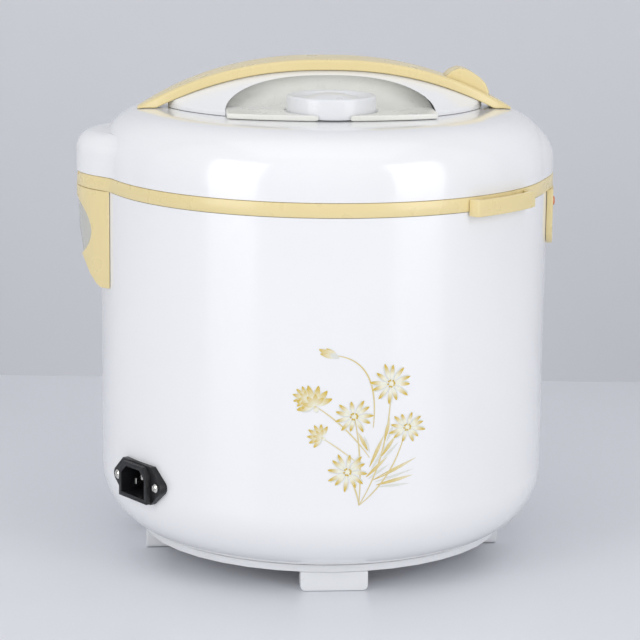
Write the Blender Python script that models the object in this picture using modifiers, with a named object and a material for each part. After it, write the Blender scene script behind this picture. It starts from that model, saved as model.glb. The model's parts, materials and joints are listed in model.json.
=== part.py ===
"""Rice cooker with a hinged lid, a fixed carrying handle and a plug-in mains inlet.

The model stands on its four feet at z = 0, in metres, +Z up. Front is -Y, the lid hinge is at the back.
Shapes are worked out round the cooker's own upright axis, and one empty then moves the whole model so that
its overall box is centred on the origin.
"""

import math

import bmesh
import bpy
from mathutils import Matrix, Vector

# Driving dimensions, in metres.
GAP = 0.0003  # clearance between pieces that touch
STEPS = 64  # facets round the large outer pieces
INNER_STEPS = 40  # facets round the large inner pieces
SMALL_STEPS = 24  # facets round the small turned pieces

BODY_RADIUS = 0.1400
SHELL_WALL = 0.0015
SHELL_CORNER = 0.0400  # radius of the rounded lower edge
SHELL_CORNER_END = math.radians(68.7)  # where the rounding stops at the base cover
FOOT_HEIGHT = 0.0125
FOOT_WIDTH = 0.0410
FOOT_DEPTH = 0.0145
BASE_GAP_HEIGHT = 0.0047  # visible height of the base cover's rim
BAND_HEIGHT = 0.0084
BAND_PROUD = 0.0006
SEAM_Z = 0.2412  # top of the ring, where the lid parts from the body
LID_HEIGHT = 0.0388  # seam to the flat top of the lid
LID_SHOULDER = 0.0360  # width and height of the lid's rounded shoulder
LID_WALL = 0.0025
LID_SHOULDER_POWER = 2.5

REAR_LOBE_RADIUS = 0.0500
REAR_LOBE_INSET = 0.0350  # from the body's side in to the rear lobe's centre
REAR_LOBE_DROP = 0.0135  # how far the rear lobe's top lies under the lid's top
REAR_LOBE_ROUND = 0.0120
FRONT_LOBE_RADIUS = 0.0740
FRONT_LOBE_INSET = 0.0700
FRONT_LOBE_DROP = 0.0095
FRONT_LOBE_ROUND = 0.0220

HINGE_INSET = 0.0055  # from the rear lobe's face in to the hinge
HINGE_BELOW_SEAM = 0.0053
PIN_RADIUS = 0.0015
KNUCKLE_RADIUS = 0.0029
KNUCKLE_WIDTH = 0.0120
HINGE_PIN_LENGTH = 0.0324

POT_CLEARANCE = 0.0240  # from the pot's side out to the body's side
POT_WALL = 0.0018
POT_CORNER = 0.0280
POT_BOTTOM_Z = 0.0670
POT_RIM_WIDTH = 0.0030
POT_RIM_THICKNESS = 0.0015
RING_CLEARANCE = 0.0035  # from the pot's side out to the ring
RING_WALL = 0.0020
RING_SKIRT = 0.0052  # how far the ring reaches down inside the shell
LEDGE_BELOW_SEAM = 0.0055
HEAT_SHIELD_CLEARANCE = 0.0075
HEAT_SHIELD_WALL = 0.0008
HEAT_SHIELD_STEP = 0.0155  # how far the heat shield draws in under the pot
SIDE_HEATER_RISE = 0.0580  # from the pot's bottom up to the side heater
SIDE_HEATER_HEIGHT = 0.0400
HEAT_SHIELD_Z = 0.0400
KNOB_STEM_RADIUS = 0.0040
GASKET_CLEARANCE = 0.0015  # from the ring in to the seal
PLATE_INSET = 0.0310  # from the pot's side in to the heating plate's edge
PLATE_THICKNESS = 0.0120
THERMOSTAT_RADIUS = 0.0165
THERMOSTAT_TRAVEL = 0.0030

HANDLE_INSET = 0.0230  # from the body's side in to the handle's tips
HANDLE_RISE = 0.0310
HANDLE_ARCH_POWER = 2.3
STRIP_THICKNESS = 0.0068
STRIP_HALF_WIDTH = 0.0175
HOUSING_INSET = 0.0190  # from the strip's tips in to the housing's tips
HOUSING_ARC_OUT = 0.0080
HOUSING_ARC_OFFSET = 0.0357
HOUSING_WALL = 0.0025
HOUSING_RISER = 0.0022
BAY_HALF_LENGTH = 0.0640
BAY_HEIGHT = 0.0185
BAY_BACK = 0.0120  # from the handle's middle plane to the back of each finger bay
BAY_EDGE_OUT = 0.0047  # how far the bay floor stands out of the housing
BAY_EDGE_SAG = 0.0120  # how much further in the bay floor's edge is at its ends
BAY_FLOOR = 0.0036
COVE_DEPTH = 0.0220
VENT_X = -0.0480
VENT_RADIUS = 0.02725
VENT_HEIGHT = 0.0125
VENT_TUBE_RADIUS = 0.0110

BUTTON_REAR = 0.0750
BUTTON_FRONT = 0.1020
BUTTON_HALF_WIDTH = 0.0095
BUTTON_RISE = 0.0089
BUTTON_SUNK = 0.0025
LATCH_INSET = 0.0085  # from the front lobe's face in to the latch
LATCH_RISE = 0.0143  # from the seam up to the latch's pin
LATCH_WIDTH = 0.0140

PANEL_HALF_WIDTH = 0.0325
PANEL_HEIGHT = 0.0355
PANEL_PROUD = 0.0040
KEY_HALF_WIDTH = 0.0070
KEY_HEIGHT = 0.0080
KEY_TRAVEL = 0.0080
KEY_DROP = 0.0178  # from the band down to the key's middle
KEY_PROUD = 0.0009
LAMP_X = 0.0180
LAMP_RADIUS = 0.0030
LAMP_DROP = 0.0093

DEW_CUP_HEIGHT = 0.0600
DEW_CUP_WALL = 0.0020
DEW_WINDOW_HALF_WIDTH = 0.0290
DEW_WINDOW_HALF_HEIGHT = 0.0195
DEW_WINDOW_DROP = 0.0265  # from the band down to the window's middle

INLET_TURN = math.radians(214.0)  # direction that the inlet faces, from the front
INLET_Z = 0.0610
INLET_SCREW_SPACING = 0.0400

BRACKET_TURN = math.radians(-46.0)
BRACKET_HALF_ANGLE = math.radians(11.5)
BRACKET_REACH = 0.0069
BRACKET_THICKNESS = 0.0023
BRACKET_HEIGHT = 0.0100

# Heights and radii that follow from the driving dimensions.
BASE_Z = FOOT_HEIGHT
BAND_LOW_Z = SEAM_Z - BAND_HEIGHT
BAND_RADIUS = BODY_RADIUS + BAND_PROUD
LID_LOW_Z = SEAM_Z + GAP
LID_TOP_Z = SEAM_Z + LID_HEIGHT
SHELL_BASE_Z = BASE_Z + BASE_GAP_HEIGHT
SHELL_BASE_RADIUS = BODY_RADIUS - SHELL_CORNER * (1 - math.cos(SHELL_CORNER_END))
SHELL_CORNER_Z = SHELL_BASE_Z + SHELL_CORNER * math.sin(SHELL_CORNER_END)
LID_FLAT_RADIUS = BODY_RADIUS - LID_SHOULDER
REAR_LOBE_CENTRE = BODY_RADIUS - REAR_LOBE_INSET
FRONT_LOBE_CENTRE = FRONT_LOBE_INSET - BODY_RADIUS
REAR_REACH = REAR_LOBE_CENTRE + REAR_LOBE_RADIUS
FRONT_REACH = FRONT_LOBE_RADIUS - FRONT_LOBE_CENTRE
HINGE_Y = REAR_REACH - HINGE_INSET
HINGE_Z = SEAM_Z - HINGE_BELOW_SEAM
POT_RADIUS = BODY_RADIUS - POT_CLEARANCE
RING_INNER_RADIUS = POT_RADIUS + RING_CLEARANCE
HEAT_SHIELD_RADIUS = POT_RADIUS + HEAT_SHIELD_CLEARANCE
HEAT_SHIELD_FOOT_RADIUS = HEAT_SHIELD_RADIUS - HEAT_SHIELD_STEP
PLATE_RADIUS = POT_RADIUS - PLATE_INSET
HANDLE_HALF_LENGTH = BODY_RADIUS - HANDLE_INSET
HANDLE_TOP_Z = LID_TOP_Z + 0.0005 + HANDLE_RISE
HOUSING_HALF_LENGTH = HANDLE_HALF_LENGTH - HOUSING_INSET
HOUSING_ARC_RADIUS = HOUSING_HALF_LENGTH + HOUSING_ARC_OUT
BAY_EDGE_MIDDLE = HOUSING_ARC_RADIUS - HOUSING_ARC_OFFSET + BAY_EDGE_OUT
LATCH_PIVOT_Y = LATCH_INSET - FRONT_REACH
LATCH_PIVOT_Z = SEAM_Z + LATCH_RISE
KEY_Z = BAND_LOW_Z - KEY_DROP
LAMP_Z = BAND_LOW_Z - LAMP_DROP
DEW_WINDOW_Z = BAND_LOW_Z - DEW_WINDOW_DROP
LEDGE_Z = SEAM_Z - LEDGE_BELOW_SEAM
PANEL_RADIUS = BODY_RADIUS + PANEL_PROUD
KEY_FRONT = PANEL_RADIUS + KEY_PROUD
POT_RIM_Z = LEDGE_Z + GAP + POT_RIM_THICKNESS

WHITE = (0.88, 0.88, 0.87)
CREAM = (0.80, 0.64, 0.34)
METAL = (0.72, 0.72, 0.74)
STEEL = (0.62, 0.62, 0.63)


def make_collection(name):
    group = bpy.data.collections.new(name)
    bpy.context.scene.collection.children.link(group)
    return group


def make_material(name, colour, roughness, metallic=0.0):
    """A plain Principled material, made once for each name."""
    if name in bpy.data.materials:
        return bpy.data.materials[name]
    material = bpy.data.materials.new(name)
    material.use_nodes = True
    shader = material.node_tree.nodes["Principled BSDF"]
    shader.inputs["Base Color"].default_value = (*colour, 1.0)
    shader.inputs["Roughness"].default_value = roughness
    shader.inputs["Metallic"].default_value = metallic
    return material


def make_empty(name, location, parent=None, rotation=(0.0, 0.0, 0.0)):
    empty = bpy.data.objects.new(name, None)
    empty.empty_display_size = 0.02
    empty.location = location
    empty.rotation_euler = rotation
    empty.parent = parent
    PARTS.objects.link(empty)
    return empty


def add_part(obj, material, parent):
    """Makes the object a visible piece, shaded smooth with crisp edges, under its parent empty."""
    PARTS.objects.link(obj)
    place_under(obj, parent)
    obj.data.materials.clear()
    obj.data.materials.append(material)
    obj.data.shade_smooth()
    obj.data.set_sharp_from_angle(angle=math.radians(35))
    return obj


def add_cutter(obj, parent=None):
    CUTTERS.objects.link(obj)
    place_under(obj, parent or COOKER)
    obj.hide_render = True
    obj.display_type = "WIRE"
    return obj


def place_under(obj, parent):
    """Parents an object that was modelled round the cooker's axis; a moving piece gets its joint as origin."""
    pivot = JOINTS.get(parent.name)
    if pivot is None:
        obj.parent = parent
        return
    obj.data.transform(Matrix.Translation(-Vector(pivot)))
    obj.parent = parent


def boolean(target, other, operation):
    """Joins, cuts or intersects the target with a helper object."""
    if other.name not in CUTTERS.objects:
        add_cutter(other)
    modifier = target.modifiers.new(operation.title(), "BOOLEAN")
    modifier.operation = operation
    modifier.solver = "EXACT"
    modifier.object = other
    return target


def cut(target, *cutters):
    for cutter in cutters:
        boolean(target, cutter, "DIFFERENCE")
    return target


def join(target, *others):
    for other in others:
        boolean(target, other, "UNION")
    return target


def keep_inside(target, other):
    return boolean(target, other, "INTERSECT")


def turned(name, profile, centre=(0.0, 0.0), steps=STEPS):
    """A turned solid. The profile of (radius, z) runs down the outer side; one that leaves the axis closes up."""
    mesh = bpy.data.meshes.new(name)
    points = [(radius, 0.0, z) for radius, z in profile]
    edges = [(i, i + 1) for i in range(len(points) - 1)]
    on_axis = profile[0][0] < 1e-7 and profile[-1][0] < 1e-7
    if not on_axis:
        edges.append((len(points) - 1, 0))
    mesh.from_pydata(points, edges, [])
    obj = bpy.data.objects.new(name, mesh)
    screw = obj.modifiers.new("Screw", "SCREW")
    screw.steps = steps
    screw.render_steps = steps
    screw.use_merge_vertices = True
    screw.merge_threshold = 0.00001
    obj = as_mesh(obj)
    obj.data.transform(Matrix.Translation((centre[0], centre[1], 0.0)))
    return obj


def as_mesh(obj):
    """Replaces a curve or an object with modifiers by its plain, welded mesh."""
    bpy.context.scene.collection.objects.link(obj)
    bpy.context.view_layer.update()
    graph = bpy.context.evaluated_depsgraph_get()
    mesh = bpy.data.meshes.new_from_object(obj.evaluated_get(graph))
    made = bmesh.new()
    made.from_mesh(mesh)
    bmesh.ops.remove_doubles(made, verts=made.verts, dist=0.00001)
    bmesh.ops.recalc_face_normals(made, faces=made.faces)
    made.to_mesh(mesh)
    made.free()
    mesh.transform(obj.matrix_world)
    name = obj.name
    bpy.data.objects.remove(obj)
    return bpy.data.objects.new(name, mesh)


def flat_piece(name, outline, low, high):
    """A flat closed outline of (x, y), extruded from z = low to z = high."""
    curve = bpy.data.curves.new(name, "CURVE")
    curve.dimensions = "2D"
    curve.fill_mode = "BOTH"
    curve.extrude = (high - low) / 2
    spline = curve.splines.new("POLY")
    spline.points.add(len(outline) - 1)
    for point, (x, y) in zip(spline.points, outline):
        point.co = (x, y, 0.0, 1.0)
    spline.use_cyclic_u = True
    obj = bpy.data.objects.new(name, curve)
    obj.location.z = (low + high) / 2
    return as_mesh(obj)


def side_piece(name, outline, half_width):
    """A flat outline of (y, z), extruded along X to both sides of the middle plane."""
    obj = flat_piece(name, outline, -half_width, half_width)
    obj.data.transform(Matrix(((0, 0, 1, 0), (1, 0, 0, 0), (0, 1, 0, 0), (0, 0, 0, 1))))
    return obj


def facing(obj, turn, distance, z):
    """Stands a flat piece upright, its face pointing away from the axis in the direction of turn."""
    upright = Matrix.Rotation(math.pi / 2, 4, "X")
    outward = Vector((math.sin(turn), -math.cos(turn), 0.0)) * distance
    move = Matrix.Translation((outward.x, outward.y, z))
    obj.data.transform(move @ Matrix.Rotation(turn, 4, "Z") @ upright)
    return obj


def block(name, low, high):
    """A box between two corners."""
    mesh = bpy.data.meshes.new(name)
    made = bmesh.new()
    bmesh.ops.create_cube(made, size=1.0)
    size = [b - a for a, b in zip(low, high)]
    centre = [(a + b) / 2 for a, b in zip(low, high)]
    bmesh.ops.scale(made, vec=size, verts=made.verts)
    bmesh.ops.translate(made, vec=centre, verts=made.verts)
    made.to_mesh(mesh)
    made.free()
    return bpy.data.objects.new(name, mesh)


def rod(name, radius, start, end, steps=SMALL_STEPS):
    """A round bar between two points."""
    mesh = bpy.data.meshes.new(name)
    made = bmesh.new()
    along = Vector(end) - Vector(start)
    turn = along.to_track_quat("Z", "Y").to_matrix().to_4x4()
    middle = Matrix.Translation((Vector(start) + Vector(end)) / 2)
    bmesh.ops.create_cone(made, cap_ends=True, segments=steps, radius1=radius, radius2=radius,
                          depth=along.length, matrix=middle @ turn)
    made.to_mesh(mesh)
    made.free()
    return bpy.data.objects.new(name, mesh)


def soften(obj, width, segments=2):
    """Rounds the edges of a plain solid."""
    bevel = obj.modifiers.new("Bevel", "BEVEL")
    bevel.width = width
    bevel.segments = segments
    bevel.limit_method = "ANGLE"
    return obj


def rounded(left, right, low, high, radius, count=4):
    """A rectangle's outline with rounded corners."""
    points = []
    corners = ((right, high, 0), (left, high, 1), (left, low, 2), (right, low, 3))
    for x, y, quarter in corners:
        across = x - math.copysign(radius, x - (left + right) / 2)
        up = y - math.copysign(radius, y - (low + high) / 2)
        for i in range(count + 1):
            angle = (quarter + i / count) * math.pi / 2
            points.append((across + radius * math.cos(angle), up + radius * math.sin(angle)))
    return points


def arc(radius, start, end, count, centre=(0.0, 0.0)):
    """Points on a circle between two angles from +X."""
    angles = [start + (end - start) * i / count for i in range(count + 1)]
    return [(centre[0] + radius * math.cos(a), centre[1] + radius * math.sin(a)) for a in angles]


def lobed_outline(inset, count=STEPS):
    """The outline of the lid and ring seen from above: a circle with a rear and a front lobe."""
    points = []
    for i in range(count):
        angle = math.tau * i / count
        reach = BAND_RADIUS - inset
        for centre, radius in ((REAR_LOBE_CENTRE, REAR_LOBE_RADIUS), (FRONT_LOBE_CENTRE, FRONT_LOBE_RADIUS)):
            across = centre * math.cos(angle)
            along = centre * math.sin(angle)
            if abs(across) < radius - inset:
                reach = max(reach, along + math.sqrt((radius - inset) ** 2 - across**2))
        points.append((reach * math.cos(angle), reach * math.sin(angle)))
    return points


def lid_surface(radius):
    """Height of the lid's outer surface at a distance from the axis."""
    height = BODY_RADIUS - LID_FLAT_RADIUS
    share = min(1.0, max(0.0, radius - LID_FLAT_RADIUS) / height)
    return LID_TOP_Z - height + height * (1 - share**LID_SHOULDER_POWER) ** (1 / LID_SHOULDER_POWER)


def strip_top(along):
    """Height of the handle strip's upper face at a distance from its middle."""
    share = min(1.0, abs(along) / HANDLE_HALF_LENGTH)
    return HANDLE_TOP_Z - HANDLE_RISE * share**HANDLE_ARCH_POWER


def strip_bottom(along):
    return max(strip_top(along) - STRIP_THICKNESS, lid_surface(abs(along)) + GAP)


def strip_half_width(along):
    return STRIP_HALF_WIDTH * math.sqrt(1 - (along / (HANDLE_HALF_LENGTH + 0.0015)) ** 4)


def housing_half_width(along):
    return math.sqrt(HOUSING_ARC_RADIUS**2 - along**2) - HOUSING_ARC_OFFSET


def bay_height(along):
    """Height of a finger bay's arch over the top of the lid."""
    share = min(1.0, abs(along) / BAY_HALF_LENGTH)
    return BAY_FLOOR + BAY_HEIGHT * (1 - share**2.4) ** 0.6


def loft(name, sections):
    """A closed solid through like sections, each a list of points in order."""
    mesh = bpy.data.meshes.new(name)
    made = bmesh.new()
    rings = [[made.verts.new(point) for point in section] for section in sections]
    for near, far in zip(rings, rings[1:]):
        for i, vertex in enumerate(near):
            after = (i + 1) % len(near)
            made.faces.new((vertex, near[after], far[after], far[i]))
    made.faces.new(rings[0])
    made.faces.new(reversed(rings[-1]))
    bmesh.ops.recalc_face_normals(made, faces=made.faces)
    made.to_mesh(mesh)
    made.free()
    return bpy.data.objects.new(name, mesh)


# Body -------------------------------------------------------------------------------------------------


def shell_profile(inset, top, count):
    """The shell's side and rounded lower edge, from the top down."""
    points = [(BODY_RADIUS - inset, top)]
    middle = BODY_RADIUS - SHELL_CORNER
    for i in range(count + 1):
        angle = SHELL_CORNER_END * i / count
        radius = SHELL_CORNER - inset
        points.append((middle + radius * math.cos(angle), SHELL_CORNER_Z - radius * math.sin(angle)))
    return points


def make_outer_shell():
    top = BAND_LOW_Z - GAP
    profile = shell_profile(0.0, top, 7) + shell_profile(SHELL_WALL, top, 5)[::-1]
    shell = turned("outer_shell", profile)
    opening = flat_piece("inlet_opening", rounded(-0.0150, 0.0150, -0.0110, 0.0110, 0.001), -0.02, 0.02)
    near, far = BODY_RADIUS - 0.010, BODY_RADIUS + 0.010
    key_hole = block("shell_key_hole", (-KEY_HALF_WIDTH - 0.0006, -far, KEY_Z - KEY_TRAVEL - 0.0050),
                     (KEY_HALF_WIDTH + 0.0006, -near, KEY_Z + 0.0050))
    cut(shell, facing(opening, INLET_TURN, BODY_RADIUS, INLET_Z), key_hole)
    for side in (-1, 1):
        x = side * LAMP_X
        cut(shell, rod("shell_lamp_hole", LAMP_RADIUS + 0.0005, (x, -far, LAMP_Z), (x, -near, LAMP_Z), 12))
        screw = rod("shell_screw_hole", 0.0018, (side * INLET_SCREW_SPACING / 2, 0, -0.02),
                    (side * INLET_SCREW_SPACING / 2, 0, 0.02), 12)
        cut(shell, facing(screw, INLET_TURN, BODY_RADIUS, INLET_Z))
    add_part(shell, make_material("white_enamel", WHITE, 0.22), COOKER)


def make_base_cover():
    outer = SHELL_BASE_RADIUS - 0.0002
    lip = SHELL_BASE_Z - GAP
    rim = SHELL_BASE_RADIUS - 0.0060
    profile = [
        (0.0, BASE_Z + 0.0025),
        (rim - 0.0025, BASE_Z + 0.0025),
        (rim - 0.0025, SHELL_BASE_Z + 0.0060),
        (rim, SHELL_BASE_Z + 0.0060),
        (rim, lip),
        (outer, lip),
        (outer, BASE_Z),
        (0.0, BASE_Z),
    ]
    base = turned("base_cover", profile, steps=INNER_STEPS)
    for i in range(8):
        slot = block("base_vent", (0.030, -0.002, 0.0), (0.070, 0.002, 0.03))
        slot.data.transform(Matrix.Rotation(math.tau * (i + 0.5) / 8, 4, "Z"))
        cut(base, slot)
    add_part(base, make_material("white_plastic", WHITE, 0.35), COOKER)


def make_feet():
    outer = SHELL_BASE_RADIUS - 0.0020
    for name, turn in (("foot_front", 0), ("foot_right", 90), ("foot_rear", 180), ("foot_left", 270)):
        half = FOOT_WIDTH / 2
        outline = rounded(-half, half, 0.0, FOOT_HEIGHT + 0.004, 0.0030, 3)
        foot = flat_piece(name, outline, outer - FOOT_DEPTH, outer)
        facing(foot, math.radians(turn), 0.0, 0.0)
        top = block(name + "_top", (-0.2, -0.2, BASE_Z - GAP), (0.2, 0.2, 0.05))
        cut(foot, top)
        add_part(foot, make_material("white_plastic", WHITE, 0.35), COOKER)


def make_base_screws():
    for i in range(3):
        angle = math.radians(30 + 120 * i)
        x, y = 0.088 * math.cos(angle), 0.088 * math.sin(angle)
        head = turned(f"base_screw_{i + 1}", [(0, BASE_Z - GAP), (0.0032, BASE_Z - GAP), (0.0032, BASE_Z - 0.0010),
                                              (0.0020, BASE_Z - 0.0022), (0, BASE_Z - 0.0022)], (x, y), 12)
        add_part(head, make_material("zinc_steel", STEEL, 0.4, 1.0), COOKER)


def make_heat_shield():
    top = SEAM_Z - 0.0028
    outer, wall, low = HEAT_SHIELD_RADIUS, HEAT_SHIELD_WALL, HEAT_SHIELD_Z
    foot, turn_z, shoulder_z = HEAT_SHIELD_FOOT_RADIUS, POT_BOTTOM_Z - 0.0010, POT_BOTTOM_Z + 0.0230
    shield = turned("heat_shield", [(outer, top), (outer, shoulder_z), (foot, turn_z), (foot, low), (0.0400, low),
                                    (0.0400, low + wall), (foot - wall, low + wall), (foot - wall, turn_z),
                                    (outer - wall, shoulder_z), (outer - wall, top)], steps=INNER_STEPS)
    add_part(shield, make_material("galvanised_steel", STEEL, 0.45, 1.0), COOKER)
    inner = HEAT_SHIELD_RADIUS + GAP
    low = POT_BOTTOM_Z + SIDE_HEATER_RISE
    high = low + SIDE_HEATER_HEIGHT
    band = turned("side_heater", [(inner + 0.0020, high), (inner + 0.0020, low), (inner, low), (inner, high)],
                  steps=INNER_STEPS)
    add_part(band, make_material("heater_foil", METAL, 0.35, 1.0), COOKER)


def make_heating_plate():
    top = POT_BOTTOM_Z - GAP
    low = top - PLATE_THICKNESS
    leg = HEAT_SHIELD_Z + HEAT_SHIELD_WALL + GAP
    hole = THERMOSTAT_RADIUS + 0.0010
    plate = turned("heating_plate", [(PLATE_RADIUS - 0.002, top), (PLATE_RADIUS, top - 0.002), (PLATE_RADIUS, low),
                                     (0.0600, low), (0.0600, leg), (0.0550, leg), (0.0550, low), (hole, low),
                                     (hole, top)], steps=INNER_STEPS)
    add_part(plate, make_material("cast_aluminium", METAL, 0.5, 1.0), COOKER)


def make_thermostat():
    top = POT_BOTTOM_Z - GAP
    foot = HEAT_SHIELD_Z + THERMOSTAT_TRAVEL + 0.0020
    radius = THERMOSTAT_RADIUS
    cap = turned("thermostat_cap", [(0, top), (radius - 0.001, top), (radius, top - 0.001), (radius, foot),
                                    (radius - 0.0015, foot), (radius - 0.0015, top - 0.0025), (0, top - 0.0025)],
                 steps=SMALL_STEPS)
    add_part(cap, make_material("aluminium_cap", METAL, 0.3, 1.0), THERMOSTAT)
    turns, low, high = 5, HEAT_SHIELD_Z + 0.0010, top - 0.0025 - THERMOSTAT_TRAVEL - 0.0015
    count = turns * 10
    curve = bpy.data.curves.new("thermostat_spring", "CURVE")
    curve.dimensions = "3D"
    curve.bevel_depth = 0.0006
    curve.bevel_resolution = 1
    curve.use_fill_caps = True
    spline = curve.splines.new("POLY")
    spline.points.add(count)
    for i, point in enumerate(spline.points):
        angle = math.tau * turns * i / count
        point.co = (0.011 * math.cos(angle), 0.011 * math.sin(angle), low + (high - low) * i / count, 1.0)
    spring = as_mesh(bpy.data.objects.new("thermostat_spring", curve))
    add_part(spring, make_material("spring_steel", STEEL, 0.3, 1.0), COOKER)


def make_inner_pot():
    rim, wall, corner = POT_RIM_Z, POT_WALL, POT_CORNER
    flange = POT_RADIUS + POT_RIM_WIDTH
    inner = [(POT_RADIUS - corner + (corner - wall) * math.sin(math.pi / 2 * i / 5),
              POT_BOTTOM_Z + corner - (corner - wall) * math.cos(math.pi / 2 * i / 5)) for i in range(6)]
    outer = [(POT_RADIUS - corner + corner * math.cos(math.pi / 2 * i / 5),
              POT_BOTTOM_Z + corner - corner * math.sin(math.pi / 2 * i / 5)) for i in range(6)]
    profile = [(0, POT_BOTTOM_Z + wall)] + inner + [(POT_RADIUS - wall, rim), (flange, rim)]
    profile += [(flange, rim - POT_RIM_THICKNESS), (POT_RADIUS, rim - POT_RIM_THICKNESS)] + outer
    profile += [(0, POT_BOTTOM_Z)]
    pot = turned("inner_pot", profile, steps=INNER_STEPS)
    add_part(pot, make_material("anodised_aluminium", METAL, 0.38, 1.0), COOKER)


def make_upper_ring():
    skirt = BODY_RADIUS - SHELL_WALL - GAP
    low = BAND_LOW_Z - RING_SKIRT
    inner = RING_INNER_RADIUS
    flange = SEAM_Z - 0.0024
    ledge = POT_RADIUS + 0.0008
    profile = [
        (BAND_RADIUS, SEAM_Z), (BAND_RADIUS, BAND_LOW_Z), (skirt, BAND_LOW_Z), (skirt, low),
        (skirt - RING_WALL, low), (skirt - RING_WALL, flange), (inner + RING_WALL, flange),
        (inner + RING_WALL, LEDGE_Z - 0.0065), (inner, LEDGE_Z - 0.0065), (inner, LEDGE_Z - 0.0017),
        (ledge, LEDGE_Z - 0.0017), (ledge, LEDGE_Z), (inner, LEDGE_Z), (inner, SEAM_Z),
    ]
    ring = turned("upper_ring", profile)
    for side, centre, radius in (("rear", REAR_LOBE_CENTRE, REAR_LOBE_RADIUS),
                                 ("front", FRONT_LOBE_CENTRE, FRONT_LOBE_RADIUS)):
        lobe = rod(f"ring_{side}_lobe", radius, (0, centre, BAND_LOW_Z), (0, centre, SEAM_Z), 72)
        core = rod(f"ring_{side}_core", BAND_RADIUS - 0.0012, (0, 0, BAND_LOW_Z - 0.01), (0, 0, SEAM_Z + 0.01), STEPS)
        join(ring, cut(lobe, core))
    half = KNUCKLE_WIDTH / 2 + 0.0005
    notch = block("hinge_notch", (-half, HINGE_Y - 0.0035, BAND_LOW_Z - 0.005), (half, REAR_REACH + 0.01, SEAM_Z + 0.005))
    relief = block("hinge_relief", (-0.030, HINGE_Y, HINGE_Z), (0.030, REAR_REACH + 0.01, SEAM_Z + 0.005))
    roll = rod("hinge_roll", HINGE_BELOW_SEAM - 0.0001, (-0.04, HINGE_Y, HINGE_Z), (0.04, HINGE_Y, HINGE_Z))
    reach = HINGE_PIN_LENGTH / 2 + GAP
    bore = rod("hinge_bore", PIN_RADIUS + GAP, (-reach, HINGE_Y, HINGE_Z), (reach, HINGE_Y, HINGE_Z), 16)
    latch = block("latch_slot", (-LATCH_WIDTH / 2 - 0.0015, LATCH_PIVOT_Y - 0.0050, SEAM_Z - 0.0067),
                  (LATCH_WIDTH / 2 + 0.0015, LATCH_PIVOT_Y + 0.0045, SEAM_Z + 0.005))
    cut(ring, notch, cut(relief, roll), bore, latch)
    for side in (-1, 1):
        x, y = side * 0.0170, BODY_RADIUS + 0.0035
        cut(ring, rod("dew_drain", 0.0018, (x, y, BAND_LOW_Z - 0.01), (x, y, SEAM_Z + 0.01), 12))
    add_part(ring, make_material("cream_plastic", CREAM, 0.35), COOKER)


def make_spoon_bracket():
    """A strap that stands off the band, for hooking on the holder of the rice spoon."""
    inner, outer = BAND_RADIUS + GAP, BAND_RADIUS + BRACKET_REACH
    middle = BRACKET_TURN - math.pi / 2
    far = BRACKET_HALF_ANGLE
    near = BRACKET_HALF_ANGLE - math.radians(2.2)
    outline = arc(inner, middle - far, middle - far, 1)[:1]
    outline += arc(outer, middle - far + math.radians(0.7), middle + far - math.radians(0.7), 10)
    outline += arc(inner, middle + far, middle + near, 1)
    outline += arc(outer - BRACKET_THICKNESS, middle + near, middle - near, 10)
    outline += arc(inner, middle - near, middle - near, 1)[:1]
    top = SEAM_Z - 0.0010
    bracket = flat_piece("spoon_bracket", outline, top - BRACKET_HEIGHT, top)
    add_part(bracket, make_material("cream_plastic", CREAM, 0.35), COOKER)


def make_control_panel():
    top = BAND_LOW_Z - GAP
    half = PANEL_HALF_WIDTH
    outline = [(-half, 0.0), (-half, -PANEL_HEIGHT + 0.012)]
    outline += arc(0.012, math.pi, math.pi * 1.5, 5, (-half + 0.012, -PANEL_HEIGHT + 0.012))[1:]
    outline += arc(0.012, math.pi * 1.5, math.tau, 5, (half - 0.012, -PANEL_HEIGHT + 0.012))
    outline += [(half, 0.0)]
    panel = facing(flat_piece("control_panel", outline, BODY_RADIUS - 0.03, BODY_RADIUS + 0.02), 0.0, 0.0, top)
    inner = BODY_RADIUS + GAP
    low, high = top - PANEL_HEIGHT - 0.01, top + 0.01
    sheet = turned("panel_sheet", [(PANEL_RADIUS, high), (PANEL_RADIUS, low), (inner, low), (inner, high)], steps=96)
    keep_inside(panel, sheet)
    half_key = KEY_HALF_WIDTH + 0.0005
    near, far = BODY_RADIUS - 0.02, BODY_RADIUS + 0.03
    cut(panel, block("panel_key_slot", (-half_key, -far, KEY_Z - KEY_HEIGHT / 2 - KEY_TRAVEL - 0.0005),
                     (half_key, -near, KEY_Z + KEY_HEIGHT / 2 + 0.0005)))
    for side in (-1, 1):
        x = side * LAMP_X
        cut(panel, rod("panel_lamp_hole", LAMP_RADIUS + GAP, (x, -far, LAMP_Z), (x, -near, LAMP_Z), 16))
    add_part(panel, make_material("cream_plastic", CREAM, 0.35), COOKER)


def make_controls():
    key = block("cook_key", (-KEY_HALF_WIDTH, -KEY_FRONT, KEY_Z - KEY_HEIGHT / 2),
                (KEY_HALF_WIDTH, 0.0055 - BODY_RADIUS, KEY_Z + KEY_HEIGHT / 2))
    add_part(soften(key, 0.0008), make_material("white_plastic", WHITE, 0.35), COOK_KEY)
    box = block("micro_switch", (-0.0100, 0.0060 - BODY_RADIUS, KEY_Z - 0.0130),
                (0.0100, 0.0155 - BODY_RADIUS, KEY_Z + 0.0090))
    add_part(box, make_material("black_plastic", (0.03, 0.03, 0.03), 0.5), COOKER)
    for name, side, colour in (("lamp_cook", -1, (0.9, 0.25, 0.05)), ("lamp_warm", 1, (0.95, 0.65, 0.1))):
        x = side * LAMP_X
        lens = rod(name, LAMP_RADIUS, (x, 0.0040 - BODY_RADIUS, LAMP_Z), (x, -PANEL_RADIUS + 0.0004, LAMP_Z), 16)
        add_part(soften(lens, 0.0006), make_material(name + "_lens", colour, 0.2), COOKER)


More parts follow.
